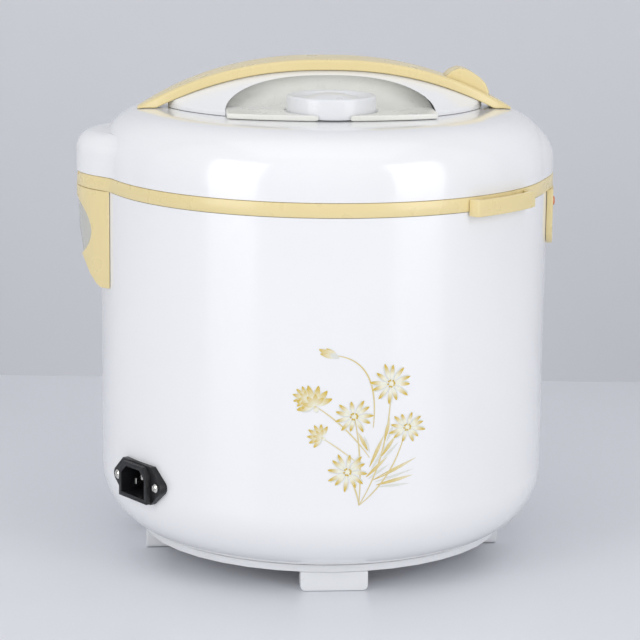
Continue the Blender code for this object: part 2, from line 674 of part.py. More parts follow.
def inlet_outline(half_width, low, high, chamfer):
    """A socket outline with its two upper corners cut off."""
    return [(-half_width, low), (half_width, low), (half_width, high - chamfer),
            (half_width - chamfer, high), (-half_width + chamfer, high), (-half_width, high - chamfer)]


def make_mains_inlet():
    reach = INLET_SCREW_SPACING / 2
    ear = 0.0050
    flange = [(-0.0145, -0.0118), (0.0145, -0.0118)]
    flange += arc(ear, math.radians(-55), math.radians(55), 6, (reach, 0.0))
    flange += [(0.0150, 0.0118), (-0.0150, 0.0118)]
    flange += arc(ear, math.radians(125), math.radians(235), 6, (-reach, 0.0))
    plate = flat_piece("mains_inlet", flange, -0.0040, 0.0030)
    bezel = flat_piece("inlet_bezel", inlet_outline(0.0148, -0.0112, 0.0112, 0.0050), 0.0020, 0.0062)
    tub = flat_piece("inlet_tub", inlet_outline(0.0140, -0.0104, 0.0104, 0.0050), -0.0185, 0.0025)
    mouth = flat_piece("inlet_mouth", inlet_outline(0.0122, -0.0086, 0.0086, 0.0050), -0.0160, 0.02)
    for piece in (plate, bezel, tub, mouth):
        facing(piece, INLET_TURN, BODY_RADIUS, INLET_Z)
    wall = rod("inlet_seat", BODY_RADIUS + GAP, (0, 0, INLET_Z - 0.04), (0, 0, INLET_Z + 0.04), STEPS)
    cut(join(cut(plate, wall), bezel, tub), mouth)
    for side in (-1, 1):
        hole = rod("flange_hole", 0.0017, (side * reach, 0, -0.01), (side * reach, 0, 0.01), 12)
        cut(plate, facing(hole, INLET_TURN, BODY_RADIUS, INLET_Z))
    black = make_material("black_plastic", (0.03, 0.03, 0.03), 0.5)
    add_part(plate, black, COOKER)
    for name, x, y in (("inlet_pin_line", -0.0070, -0.0020), ("inlet_pin_neutral", 0.0070, -0.0020),
                       ("inlet_pin_earth", 0.0, 0.0020)):
        pin = block(name, (x - 0.0010, y - 0.0020, -0.0157), (x + 0.0010, y + 0.0020, -0.0005))
        facing(soften(pin, 0.0003, 1), INLET_TURN, BODY_RADIUS, INLET_Z)
        add_part(pin, make_material("nickel_brass", METAL, 0.25, 1.0), COOKER)
    for name, side in (("inlet_screw_left", -1), ("inlet_screw_right", 1)):
        profile = [(0, 0.0047), (0.0018, 0.0046), (0.0029, 0.0037), (0.0029, 0.0033), (0.0014, 0.0033),
                   (0.0014, -0.0060), (0, -0.0060)]
        screw = turned(name, profile, (side * reach, 0.0), 16)
        cut(screw, *[facing(bar, INLET_TURN, BODY_RADIUS, INLET_Z) for bar in
                     (block("drive_slot", (side * reach - 0.0020, -0.0004, 0.0040),
                            (side * reach + 0.0020, 0.0004, 0.0060)),
                      block("drive_slot", (side * reach - 0.0004, -0.0020, 0.0040),
                            (side * reach + 0.0004, 0.0020, 0.0060)))])
        facing(screw, INLET_TURN, BODY_RADIUS, INLET_Z)
        add_part(screw, make_material("nickel_brass", METAL, 0.25, 1.0), COOKER)


def dew_wedge(name, inset, inner_radius, high):
    """The rear lobe carried on under the ring, its outer face leaning in towards the bottom."""
    low = BAND_LOW_Z - DEW_CUP_HEIGHT
    lean = [(0.0, 0.0), (0.45, 0.0012), (0.70, 0.0036), (0.88, 0.0085), (0.97, 0.0125), (1.0, 0.0150)]
    profile = [(REAR_REACH - inset - inward, BAND_LOW_Z - GAP - share * (DEW_CUP_HEIGHT - inset))
               for share, inward in lean]
    profile[0] = (REAR_REACH - inset, high)
    profile += [(BODY_RADIUS - 0.04, low + inset), (BODY_RADIUS - 0.04, high)]
    wedge = side_piece(name, profile, REAR_LOBE_RADIUS - 0.005)
    under, over = low - 0.02, SEAM_Z + 0.02
    lobe = rod(name + "_lobe", REAR_LOBE_RADIUS - inset, (0, REAR_LOBE_CENTRE, under), (0, REAR_LOBE_CENTRE, over), STEPS)
    core = rod(name + "_core", inner_radius, (0, 0, under), (0, 0, over), STEPS)
    return cut(keep_inside(wedge, lobe), core)


def make_dew_cup():
    """The cup at the back that catches the water running off the open lid."""
    inner = BODY_RADIUS + 0.0004
    cup = dew_wedge("dew_cup", 0.0, inner, BAND_LOW_Z - GAP)
    cut(cup, dew_wedge("dew_pocket", DEW_CUP_WALL, inner + DEW_CUP_WALL, BAND_LOW_Z + 0.01))
    oval = window_oval("dew_window_hole", 0.0)
    add_part(cut(cup, oval), make_material("cream_plastic", CREAM, 0.35), DEW_CUP)
    window = dew_wedge("dew_window", 0.0009, inner + 0.003, BAND_LOW_Z - 0.004)
    cut(window, dew_wedge("dew_window_back", DEW_CUP_WALL, inner, BAND_LOW_Z))
    keep_inside(window, window_oval("dew_window_edge", GAP))
    add_part(window, make_material("clear_plastic", (0.75, 0.77, 0.74), 0.15), DEW_CUP)


def window_oval(name, inset):
    across, up = DEW_WINDOW_HALF_WIDTH - inset, DEW_WINDOW_HALF_HEIGHT - inset
    outline = [(across * math.cos(a), up * math.sin(a)) for a in [math.tau * i / 32 for i in range(32)]]
    oval = flat_piece(name, outline, BODY_RADIUS + 0.003, REAR_REACH + 0.015)
    return facing(oval, math.pi, 0.0, DEW_WINDOW_Z)


def make_hinge():
    half = HINGE_PIN_LENGTH / 2
    pin = rod("hinge_pin", PIN_RADIUS, (-half, HINGE_Y, HINGE_Z), (half, HINGE_Y, HINGE_Z), 16)
    add_part(pin, make_material("zinc_steel", STEEL, 0.4, 1.0), COOKER)
    radius, arm = KNUCKLE_RADIUS, SEAM_Z + 0.0036
    root = HINGE_Y - 0.0205
    outline = [(root, arm), (HINGE_Y - radius, arm)]
    outline += arc(radius, math.pi, math.tau, 10, (HINGE_Y, HINGE_Z))
    outline += [(HINGE_Y + 0.0023, arm - 0.0020), (HINGE_Y + 0.0023, arm + 0.0022), (root, arm + 0.0022)]
    knuckle = side_piece("lid_knuckle", outline, KNUCKLE_WIDTH / 2)
    bore = rod("knuckle_bore", PIN_RADIUS + GAP, (-0.02, HINGE_Y, HINGE_Z), (0.02, HINGE_Y, HINGE_Z), 16)
    add_part(cut(knuckle, bore), make_material("cream_plastic", CREAM, 0.35), LID)


# Lid --------------------------------------------------------------------------------------------------


def shoulder(radius, round_over, top, power, inset, low, count=8):
    """A dome's profile from its middle out and down: a flat top, a rounded shoulder and a straight side."""
    points = [(0.0, top - inset)]
    flat, height = radius - round_over, min(round_over, top - low - 0.002)
    for i in range(count + 1):
        angle = math.pi / 2 * i / count
        across = (round_over - inset) * math.sin(angle) ** (2 / power)
        up = (height - inset) * math.cos(angle) ** (2 / power)
        points.append((flat + across, top - height + up))
    points.append((radius - inset, low))
    points.append((0.0, low))
    return points


def lid_solid(name, inset, low):
    """The outer form of the lid: a turned dome with its two lobes, drawn in by inset."""
    dome = turned(name, shoulder(BODY_RADIUS, BODY_RADIUS - LID_FLAT_RADIUS, LID_TOP_Z, LID_SHOULDER_POWER, inset,
                                 low - 0.010, 7 if inset == 0 else 5))
    rear = turned(name + "_rear", shoulder(REAR_LOBE_RADIUS, REAR_LOBE_ROUND, LID_TOP_Z - REAR_LOBE_DROP, 2.0,
                                           inset, low - 0.012, 5), (0, REAR_LOBE_CENTRE), 48)
    front = turned(name + "_front", shoulder(FRONT_LOBE_RADIUS, FRONT_LOBE_ROUND, LID_TOP_Z - FRONT_LOBE_DROP,
                                             2.0, inset, low - 0.014, 5), (0, FRONT_LOBE_CENTRE), STEPS)
    reach = REAR_REACH + 0.04
    under = block(name + "_under", (-reach, -reach, low - 0.04), (reach, reach, low))
    return cut(join(dome, rear, front), under)


def make_lid_cover():
    cover = lid_solid("lid_cover", 0.0, LID_LOW_Z)
    cut(cover, lid_solid("lid_hollow", LID_WALL, LID_LOW_Z - 0.01))
    hole = VENT_TUBE_RADIUS + GAP
    cut(cover, rod("lid_vent_hole", hole, (VENT_X, 0, LID_TOP_Z - 0.01), (VENT_X, 0, LID_TOP_Z + 0.02)))
    add_part(cover, make_material("white_gloss", WHITE, 0.2), LID)


def make_lid_base():
    low = LID_LOW_Z + 0.0005
    base = flat_piece("lid_base", lobed_outline(LID_WALL + BAND_PROUD + 0.0015, 160), low, low + 0.0025)
    half = KNUCKLE_WIDTH / 2 + 0.0005
    under, over = low - 0.02, low + 0.02
    notch = block("lid_base_notch", (-half, HINGE_Y - 0.0040, under), (half, REAR_REACH + 0.01, over))
    slot = block("lid_base_slot", (-LATCH_WIDTH / 2 - 0.0010, LATCH_PIVOT_Y - 0.0040, under),
                 (LATCH_WIDTH / 2 + 0.0010, LATCH_PIVOT_Y + 0.0045, over))
    tube = rod("lid_base_vent", VENT_TUBE_RADIUS + GAP, (VENT_X, 0, under), (VENT_X, 0, over))
    stem = rod("lid_base_stem", KNOB_STEM_RADIUS + GAP, (0, 0, under), (0, 0, over), 16)
    add_part(cut(base, notch, slot, tube, stem), make_material("white_plastic", WHITE, 0.35), LID)


def make_inner_lid():
    ceiling = LID_LOW_Z + 0.0002
    low = POT_RIM_Z + 0.0004
    outer, inner = RING_INNER_RADIUS - GASKET_CLEARANCE, POT_RADIUS - 0.0052
    gasket = turned("lid_gasket", [(outer, ceiling), (outer, low + 0.0010), (outer - 0.0025, low), (inner, low),
                                   (inner, ceiling)], steps=INNER_STEPS)
    add_part(gasket, make_material("silicone_seal", (0.75, 0.75, 0.73), 0.6), LID)
    hole, edge, flat = KNOB_STEM_RADIUS + GAP, inner - 0.0004, inner - 0.0208
    dish = SEAM_Z - 0.0027
    plate = turned("inner_lid", [(hole, dish), (flat, dish), (edge - 0.0024, ceiling), (edge, ceiling),
                                 (edge, ceiling - 0.0010), (edge - 0.0019, ceiling - 0.0010),
                                 (flat + 0.0005, dish - 0.0010), (hole, dish - 0.0010)], steps=INNER_STEPS)
    steam = rod("steam_hole", 0.0050, (VENT_X, 0, dish - 0.02), (VENT_X, 0, dish + 0.02), 16)
    add_part(cut(plate, steam), make_material("anodised_aluminium", METAL, 0.38, 1.0), LID)
    stem, under = KNOB_STEM_RADIUS, dish - 0.0010 - GAP
    knob = turned("inner_lid_knob", [(0, SEAM_Z + 0.0023), (stem, SEAM_Z + 0.0023), (stem, under), (0.0120, under),
                                     (0.0140, under - 0.0022), (0.0120, under - 0.0062), (0, under - 0.0062)],
                  steps=SMALL_STEPS)
    add_part(knob, make_material("silicone_seal", (0.75, 0.75, 0.73), 0.6), LID)


def make_vent():
    base = LID_TOP_Z + 0.0007
    top = base + VENT_HEIGHT
    radius = VENT_RADIUS
    profile = [(0, top + 0.0012), (0.0090, top + 0.0004), (0.0160, top - 0.0018), (0.0205, top - 0.0024),
               (0.0240, top - 0.0004), (radius - 0.0010, top), (radius, top - 0.0010), (radius, base),
               (radius - 0.0022, base), (radius - 0.0022, top - 0.0050), (0, top - 0.0050)]
    cap = turned("vent_cap", profile, (VENT_X, 0), INNER_STEPS)
    add_part(cap, make_material("white_plastic", WHITE, 0.35), VENT_CAP)
    outer = VENT_TUBE_RADIUS
    foot = LID_LOW_Z + 0.0005
    tube = turned("vent_tube", [(outer, top - 0.0062), (outer, foot), (outer - 0.0018, foot),
                                (outer - 0.0018, top - 0.0062)], (VENT_X, 0), SMALL_STEPS)
    add_part(tube, make_material("white_plastic", WHITE, 0.35), LID)


def housing_sections(inset, low):
    """Cross-sections of the handle's white housing, from its rear tip to its front tip."""
    sections = []
    half_length = HOUSING_HALF_LENGTH - inset
    for i in range(17):
        along = -half_length * math.cos(math.pi * i / 16)
        top = strip_bottom(along) - GAP - inset
        riser = min(LID_TOP_Z + GAP + HOUSING_RISER - inset / 2, top - 0.0002)
        wide = max(housing_half_width(along) - inset, 0.0012)
        narrow = min(strip_half_width(along) - 0.0012 - inset, wide * 0.96)
        middle = (wide * 0.52 + narrow * 0.48, riser * 0.52 + top * 0.48)
        right = [(wide, low), (wide, riser), middle, (narrow, top)]
        half = [(x, -along, z) for x, z in right]
        sections.append(half + [(-x, y, z) for x, y, z in reversed(half)])
    return sections


def arch_outline(inset):
    """A finger bay's arch seen from the side, as (y, z)."""
    floor = LID_TOP_Z
    half = BAY_HALF_LENGTH - inset
    points = [(-half, floor - 0.002)]
    for i in range(25):
        along = -half * math.cos(math.pi * i / 24)
        points.append((along, floor + bay_height(along * BAY_HALF_LENGTH / half) - inset))
    return points + [(half, floor - 0.002)]


def arch_block(name, side, near, far, inset):
    """The arch drawn out sideways, between two distances from the middle plane."""
    obj = flat_piece(name, arch_outline(inset), near, far)
    obj.data.transform(Matrix(((0, 0, 1, 0), (1, 0, 0, 0), (0, 1, 0, 0), (0, 0, 0, 1))))
    if side < 0:
        obj.data.transform(Matrix.Rotation(math.pi, 4, "Z"))
    return obj


def make_handle_housing():
    housing = loft("handle_housing", housing_sections(0.0, LID_TOP_Z + GAP))
    hollow = loft("housing_hollow", housing_sections(HOUSING_WALL, LID_TOP_Z - 0.005))
    cut(housing, hollow)
    for side in (-1, 1):
        cut(housing, arch_block("bay_opening", side, BAY_BACK, HOUSING_ARC_RADIUS, 0.0))
    add_part(housing, make_material("white_gloss", WHITE, 0.2), LID)


def make_bay(name, side, has_vent):
    """The moulded liner of one finger bay: a floor and a coved back wall."""
    floor = LID_TOP_Z + GAP + BAY_FLOOR - 0.0003
    low = LID_TOP_Z + GAP
    half = BAY_HALF_LENGTH - GAP
    sag = BAY_EDGE_SAG
    radius = half**2 / (2 * sag) + sag / 2
    angle = math.asin(half / radius)
    back = BAY_BACK + GAP
    edge = arc(radius, -angle, angle, 12, (BAY_EDGE_MIDDLE - radius, 0.0))
    outline = [(back, half), (back, -half)] + edge
    bay = flat_piece(name, [(x * side, y * side) for x, y in outline], low, floor)
    top = LID_TOP_Z + BAY_FLOOR + BAY_HEIGHT
    rise = top - floor
    curve = [(back + 0.0015 + COVE_DEPTH * (1 - math.cos(math.pi / 2 * i / 6)),
              floor - 0.0004 + rise * (1 - math.sin(math.pi / 2 * i / 6))) for i in range(7)]
    section = [(back, low)] + [(x, z) for x, z in reversed(curve)] + [(back, top)]
    section = [(back, low), (back + 0.0015 + COVE_DEPTH, low)] + section[1:]
    cove = flat_piece(name + "_cove", section, -half, half)
    cove.data.transform(Matrix(((1, 0, 0, 0), (0, 0, -1, 0), (0, 1, 0, 0), (0, 0, 0, 1))))
    if side < 0:
        cove.data.transform(Matrix.Rotation(math.pi, 4, "Z"))
    keep_inside(cove, arch_block(name + "_arch", side, BAY_BACK - 0.007, BAY_EDGE_MIDDLE + 0.02, GAP))
    join(bay, cove)
    if has_vent:
        cut(bay, rod("vent_recess", VENT_RADIUS + 0.0012, (VENT_X, 0, LID_TOP_Z - 0.03), (VENT_X, 0, LID_TOP_Z + 0.04), 48))
    add_part(bay, make_material("bay_white", WHITE, 0.35), LID)


def strip_sections():
    sections = []
    for i in range(33):
        along = -HANDLE_HALF_LENGTH * math.cos(math.pi * i / 32)
        wide, top, low = strip_half_width(along), strip_top(along), strip_bottom(along)
        edge = min(0.0016, (top - low) * 0.4)
        half = [(wide - edge / 2, low), (wide, low + edge), (wide, top - edge), (wide - edge, top - edge / 4)]
        half = [(x, -along, z) for x, z in half] + [(0.0, -along, top)]
        mirrored = [(-x, y, z) for x, y, z in reversed(half[:-1])]
        sections.append(half + mirrored)
    return sections


def make_handle_strip():
    strip = loft("handle_strip", strip_sections())
    half = BUTTON_HALF_WIDTH + 0.0004
    slot = block("button_slot", (-half, -BUTTON_FRONT - 0.0004, LID_TOP_Z - 0.01),
                 (half, -BUTTON_REAR + 0.0004, HANDLE_TOP_Z + 0.02))
    add_part(cut(strip, slot), make_material("cream_plastic", CREAM, 0.35), LID)


def make_lid_button():
    """The thumb button near the handle's front end; it sinks straight down."""
    span = BUTTON_FRONT - BUTTON_REAR
    crest = [(0.0, 0.0), (0.12, 0.0040), (0.30, 0.0078), (0.45, BUTTON_RISE), (0.60, 0.0088), (0.78, 0.0078),
             (0.92, 0.0058), (1.0, 0.0020)]
    upper = [(-(BUTTON_REAR + share * span), strip_top(BUTTON_REAR + share * span) + rise) for share, rise in crest]
    lower = [(y, strip_top(-y) - BUTTON_SUNK) for y, z in reversed(upper)]
    button = side_piece("lid_button", upper + lower, BUTTON_HALF_WIDTH)
    add_part(button, make_material("cream_plastic", CREAM, 0.35), BUTTON)


def make_latch():
    y, z = LATCH_PIVOT_Y, LATCH_PIVOT_Z
    hook_top = SEAM_Z - 0.0034
    outline = [(y + 0.0008, z + 0.0030), (y - 0.0008, z + 0.0030), (y - 0.0008, hook_top), (y - 0.0020, hook_top - 0.0006),
               (y - 0.0008, hook_top - 0.0026), (y + 0.0008, hook_top - 0.0026), (y + 0.0008, z - 0.0040), (y + 0.0026, z - 0.0020),
               (y + 0.0026, z + 0.0020)]
    hook = side_piece("latch_hook", outline, LATCH_WIDTH / 2)
    axis_y = y + 0.0009
    bore = rod("hook_bore", 0.0011, (-0.02, axis_y, z), (0.02, axis_y, z), 12)
    add_part(cut(hook, bore), make_material("zinc_steel", STEEL, 0.4, 1.0), LATCH)
    reach = LATCH_WIDTH / 2 + 0.0030
    pin = rod("latch_pin", 0.0008, (-reach, axis_y, z), (reach, axis_y, z), 12)
    add_part(pin, make_material("zinc_steel", STEEL, 0.4, 1.0), LID)


def clear_scene():
    for obj in list(bpy.data.objects):
        bpy.data.objects.remove(obj, do_unlink=True)


def make_everything():
    make_outer_shell()
    make_base_cover()
    make_feet()
    make_base_screws()
    make_heat_shield()
    make_heating_plate()
    make_thermostat()
    make_inner_pot()
    make_upper_ring()
    make_spoon_bracket()
    make_control_panel()
    make_controls()
    make_mains_inlet()
    make_dew_cup()
    make_hinge()
    make_lid_cover()
    make_lid_base()
    make_inner_lid()
    make_vent()
    make_handle_housing()
    make_bay("vent_bay", -1, True)
    make_bay("grip_bay", 1, False)
    make_handle_strip()
    make_lid_button()
    make_latch()


clear_scene()
PARTS = make_collection("rice_cooker")
CUTTERS = make_collection("cutters")
JOINTS = {
    "lid_joint": (0.0, HINGE_Y, HINGE_Z),
    "button_joint": (0.0, -(BUTTON_REAR + BUTTON_FRONT) / 2, LID_TOP_Z),
    "latch_joint": (0.0, LATCH_PIVOT_Y + 0.0009, LATCH_PIVOT_Z),
    "vent_joint": (VENT_X, 0.0, LID_TOP_Z),
    "dew_cup_joint": (0.0, REAR_LOBE_CENTRE, BAND_LOW_Z),
    "cook_key_joint": (0.0, -PANEL_RADIUS, KEY_Z),
    "thermostat_joint": (0.0, 0.0, POT_BOTTOM_Z),
}
COOKER = make_empty("cooker", (0.0, (KEY_FRONT - REAR_REACH) / 2, 0.0))
LID = make_empty("lid_joint", JOINTS["lid_joint"], COOKER)
BUTTON = make_empty("button_joint", JOINTS["button_joint"], COOKER)
LATCH = make_empty("latch_joint", JOINTS["latch_joint"], COOKER)
VENT_CAP = make_empty("vent_joint", JOINTS["vent_joint"], COOKER)
DEW_CUP = make_empty("dew_cup_joint", JOINTS["dew_cup_joint"], COOKER)
COOK_KEY = make_empty("cook_key_joint", JOINTS["cook_key_joint"], COOKER)
THERMOSTAT = make_empty("thermostat_joint", JOINTS["thermostat_joint"], COOKER)
make_everything()
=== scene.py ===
"""Rice cooker: the visible pieces, their finishes and a plain stage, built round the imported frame."""

import json
import math

import bpy
from mathutils import Matrix, Vector

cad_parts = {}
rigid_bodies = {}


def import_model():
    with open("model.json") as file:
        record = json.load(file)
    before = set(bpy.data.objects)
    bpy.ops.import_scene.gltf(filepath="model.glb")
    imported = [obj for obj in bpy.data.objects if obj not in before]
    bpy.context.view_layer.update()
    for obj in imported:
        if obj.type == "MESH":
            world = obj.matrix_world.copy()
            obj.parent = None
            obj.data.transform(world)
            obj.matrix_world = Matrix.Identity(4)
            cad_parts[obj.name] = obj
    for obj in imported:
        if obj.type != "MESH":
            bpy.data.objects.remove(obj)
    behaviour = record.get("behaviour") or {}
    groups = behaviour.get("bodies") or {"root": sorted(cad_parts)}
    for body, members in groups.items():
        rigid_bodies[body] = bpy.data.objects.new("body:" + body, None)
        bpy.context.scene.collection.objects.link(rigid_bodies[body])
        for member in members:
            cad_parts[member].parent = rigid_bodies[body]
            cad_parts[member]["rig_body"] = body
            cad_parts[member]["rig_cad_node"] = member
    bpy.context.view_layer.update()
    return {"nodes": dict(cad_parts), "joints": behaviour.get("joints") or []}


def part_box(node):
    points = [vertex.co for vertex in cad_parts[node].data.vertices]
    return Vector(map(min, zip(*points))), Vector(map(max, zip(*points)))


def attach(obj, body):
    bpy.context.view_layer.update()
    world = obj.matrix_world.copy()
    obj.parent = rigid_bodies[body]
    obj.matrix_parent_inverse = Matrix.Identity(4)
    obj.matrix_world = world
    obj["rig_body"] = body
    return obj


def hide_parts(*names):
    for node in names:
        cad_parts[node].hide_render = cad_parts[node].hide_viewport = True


bl_info = {
    "name": "Rice Cooker",
    "version": (1, 0, 0),
    "blender": (4, 5, 0),
    "location": "3D View > Sidebar > Cooker",
    "description": "Models a rice cooker with a hinged lid, a carrying handle and a mains inlet",
    "category": "Object",
}

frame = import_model()

POLE = 1e-6  # radius that stands for a point on the axis
WELD = 2e-6  # distance under which points are one
GAP = 0.0003  # room that touching pieces leave
SHELL_LOW, SHELL_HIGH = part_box("outer_shell")
LID_LOW, LID_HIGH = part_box("lid_cover")
RING_LOW, RING_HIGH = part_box("upper_ring")
STRIP_LOW, STRIP_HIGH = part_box("handle_strip")
HOUSING_LOW, HOUSING_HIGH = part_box("handle_housing")
CAP_LOW, CAP_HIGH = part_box("vent_cap")
POT_LOW, POT_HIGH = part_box("inner_pot")
AXIS_Y = (SHELL_LOW.y + SHELL_HIGH.y) / 2


# Tools for modelling -----------------------------------------------------------------------------------


def in_object_mode():
    if bpy.context.object and bpy.context.object.mode != "OBJECT":
        bpy.ops.object.mode_set(mode="OBJECT")


def deselect_all():
    in_object_mode()
    bpy.ops.object.select_all(action="DESELECT")


def choose(obj):
    deselect_all()
    obj.select_set(True)
    bpy.context.view_layer.objects.active = obj
    return obj


def edit_all(obj):
    """Opens an object in edit mode with everything selected."""
    choose(obj)
    bpy.ops.object.mode_set(mode="EDIT")
    bpy.ops.mesh.select_all(action="SELECT")


def shaded(obj, angle):
    """Shades smooth, up to an angle in degrees."""
    choose(obj)
    bpy.ops.object.shade_smooth_by_angle(angle=math.radians(angle))
    return obj


def added(name):
    """The object that was just added, named and with its place applied."""
    obj = bpy.context.object
    obj.name = name
    bpy.ops.object.transform_apply()
    return obj


def clean(obj, doubles=WELD, smooth=40.0):
    """Welds, points the faces outwards and shades smooth up to an angle in degrees."""
    edit_all(obj)
    bpy.ops.mesh.remove_doubles(threshold=doubles)
    bpy.ops.mesh.normals_make_consistent(inside=False)
    in_object_mode()
    bpy.ops.object.transform_apply()
    return shaded(obj, smooth)


def turned(name, profile, centre=(0.0, None), steps=160, smooth=40.0, loop=False):
    """A ring extruded along a profile of (radius, height), and closed on the axis or on itself."""
    x, y = centre[0], AXIS_Y if centre[1] is None else centre[1]
    points = [(max(r, POLE), z) for r, z in profile]
    if loop:
        points.append(points[0])
    deselect_all()
    radius, height = points[0]
    bpy.ops.mesh.primitive_circle_add(vertices=steps, radius=radius, location=(x, y, height))
    obj = added(name)
    edit_all(obj)
    for r, z in points[1:]:
        bpy.ops.mesh.extrude_edges_move(TRANSFORM_OT_translate={"value": (0.0, 0.0, z - height)})
        bpy.ops.transform.resize(value=(r / radius, r / radius, 1.0), center_override=(x, y, z))
        radius, height = r, z
    return clean(obj, 2 * WELD, smooth)


def draped(name, rows, smooth=40.0, tube=True, caps=True, round_trip=False):
    """A grid laid over rows of points: a loft where tube is set, with capped ends or joined end to end."""
    rows = [list(row) + ([row[0]] if tube else []) for row in rows]
    if round_trip:
        rows.append(rows[0])
    across, along = len(rows[0]), len(rows)
    deselect_all()
    bpy.ops.mesh.primitive_grid_add(x_subdivisions=across - 1, y_subdivisions=along - 1, size=1.0)
    obj = added(name)
    for vertex, point in zip(obj.data.vertices, [p for row in rows for p in row]):
        vertex.co = point
    edit_all(obj)
    bpy.ops.mesh.remove_doubles(threshold=WELD)
    if caps and not round_trip:
        bpy.ops.mesh.fill_holes(sides=0)
    return clean(obj, WELD, smooth)


def prism(name, outline, low, high, edge=0.0, segments=3, smooth=35.0):
    """An outline of (x, y) raised from low to high, its edges rounded by edge."""
    deselect_all()
    bpy.ops.mesh.primitive_circle_add(vertices=len(outline), radius=1.0, fill_type="NGON")
    obj = added(name)
    for vertex, (x, y) in zip(obj.data.vertices, outline):
        vertex.co = (x, y, low)
    edit_all(obj)
    bpy.ops.mesh.extrude_region_move(TRANSFORM_OT_translate={"value": (0.0, 0.0, high - low)})
    clean(obj, 1e-7, smooth)
    if edge > 0:
        round_edges(obj, edge, segments, smooth)
    return obj


def apply_modifier(obj, modifier):
    choose(obj)
    bpy.ops.object.modifier_apply(modifier=modifier.name)


def round_edges(obj, width, segments=3, smooth=35.0, limit=30.0):
    modifier = obj.modifiers.new("Rounded edges", "BEVEL")
    modifier.width = width
    modifier.segments = segments
    modifier.limit_method = "ANGLE"
    modifier.angle_limit = math.radians(limit)
    apply_modifier(obj, modifier)
    return shaded(obj, smooth)


def combine(obj, other, operation):
    modifier = obj.modifiers.new(operation.title(), "BOOLEAN")
    modifier.operation = operation
    modifier.solver = "EXACT"
    modifier.object = other
    apply_modifier(obj, modifier)
    bpy.data.objects.remove(other)
    return obj


def cut(obj, *cutters):
    for cutter in cutters:
        combine(obj, cutter, "DIFFERENCE")
    return obj


def joined(name, pieces):
    """Several meshes as one object."""
    deselect_all()
    for piece in pieces:
        piece.select_set(True)
    bpy.context.view_layer.objects.active = pieces[0]
    bpy.ops.object.join()
    obj = bpy.context.object
    obj.name = name
    return obj


def slab(name, low, high):
    """A plain box between two corners, used for cutting."""
    deselect_all()
    middle = [(a + b) / 2 for a, b in zip(low, high)]
    bpy.ops.mesh.primitive_cube_add(size=1.0, location=middle, scale=[b - a for a, b in zip(low, high)])
    return added(name)


def bar(name, radius, start, end, steps=32):
    """A round bar between two points."""
    along = Vector(end) - Vector(start)
    deselect_all()
    bpy.ops.mesh.primitive_cylinder_add(vertices=steps, radius=radius, depth=along.length,
                                        location=(Vector(start) + Vector(end)) / 2,
                                        rotation=along.to_track_quat("Z", "Y").to_euler())
    return added(name)


def facing(obj, turn, distance, z):
    """Stands a flat piece upright, its face looking away from the cooker's axis in the direction of turn."""
    outward = Vector((math.sin(turn), -math.cos(turn), 0.0)) * distance
    place = Matrix.Translation((outward.x, AXIS_Y + outward.y, z))
    choose(obj)
    obj.matrix_world = place @ Matrix.Rotation(turn, 4, "Z") @ Matrix.Rotation(math.pi / 2, 4, "X")
    bpy.ops.object.transform_apply()
    return obj


def copied(node, name, edge, segments=2, smooth=35.0):
    """A welded copy of a frame node, its flat faces made whole and its edges rounded."""
    choose(frame["nodes"][node])
    bpy.ops.object.duplicate()
    obj = bpy.context.object
    obj.name = name
    obj.parent = None
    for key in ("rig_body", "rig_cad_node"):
        del obj[key]
    edit_all(obj)
    bpy.ops.mesh.remove_doubles(threshold=3e-6)
    bpy.ops.mesh.select_all(action="SELECT")
    bpy.ops.mesh.dissolve_limited(angle_limit=math.radians(0.6))
    in_object_mode()
    if edge > 0:
        round_edges(obj, edge, segments, smooth)
    return shaded(obj, smooth)


def fit_on(obj, body, slot, material, *nodes):
    """Gives a finished piece its material and body, and hides the nodes that it stands for."""
    obj.data.materials.clear()
    obj.data.materials.append(material)
    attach(obj, body)
    if nodes:
        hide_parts(*nodes)
    return obj


def refit(node, name, body, slot, look, edge=0.0, *rounding):
    """A frame node whose shape stays as it is, as a finished piece with its edges rounded."""
    return fit_on(copied(node, name, edge, *rounding), body, slot, finish(look), node)


# Finishes ----------------------------------------------------------------------------------------------


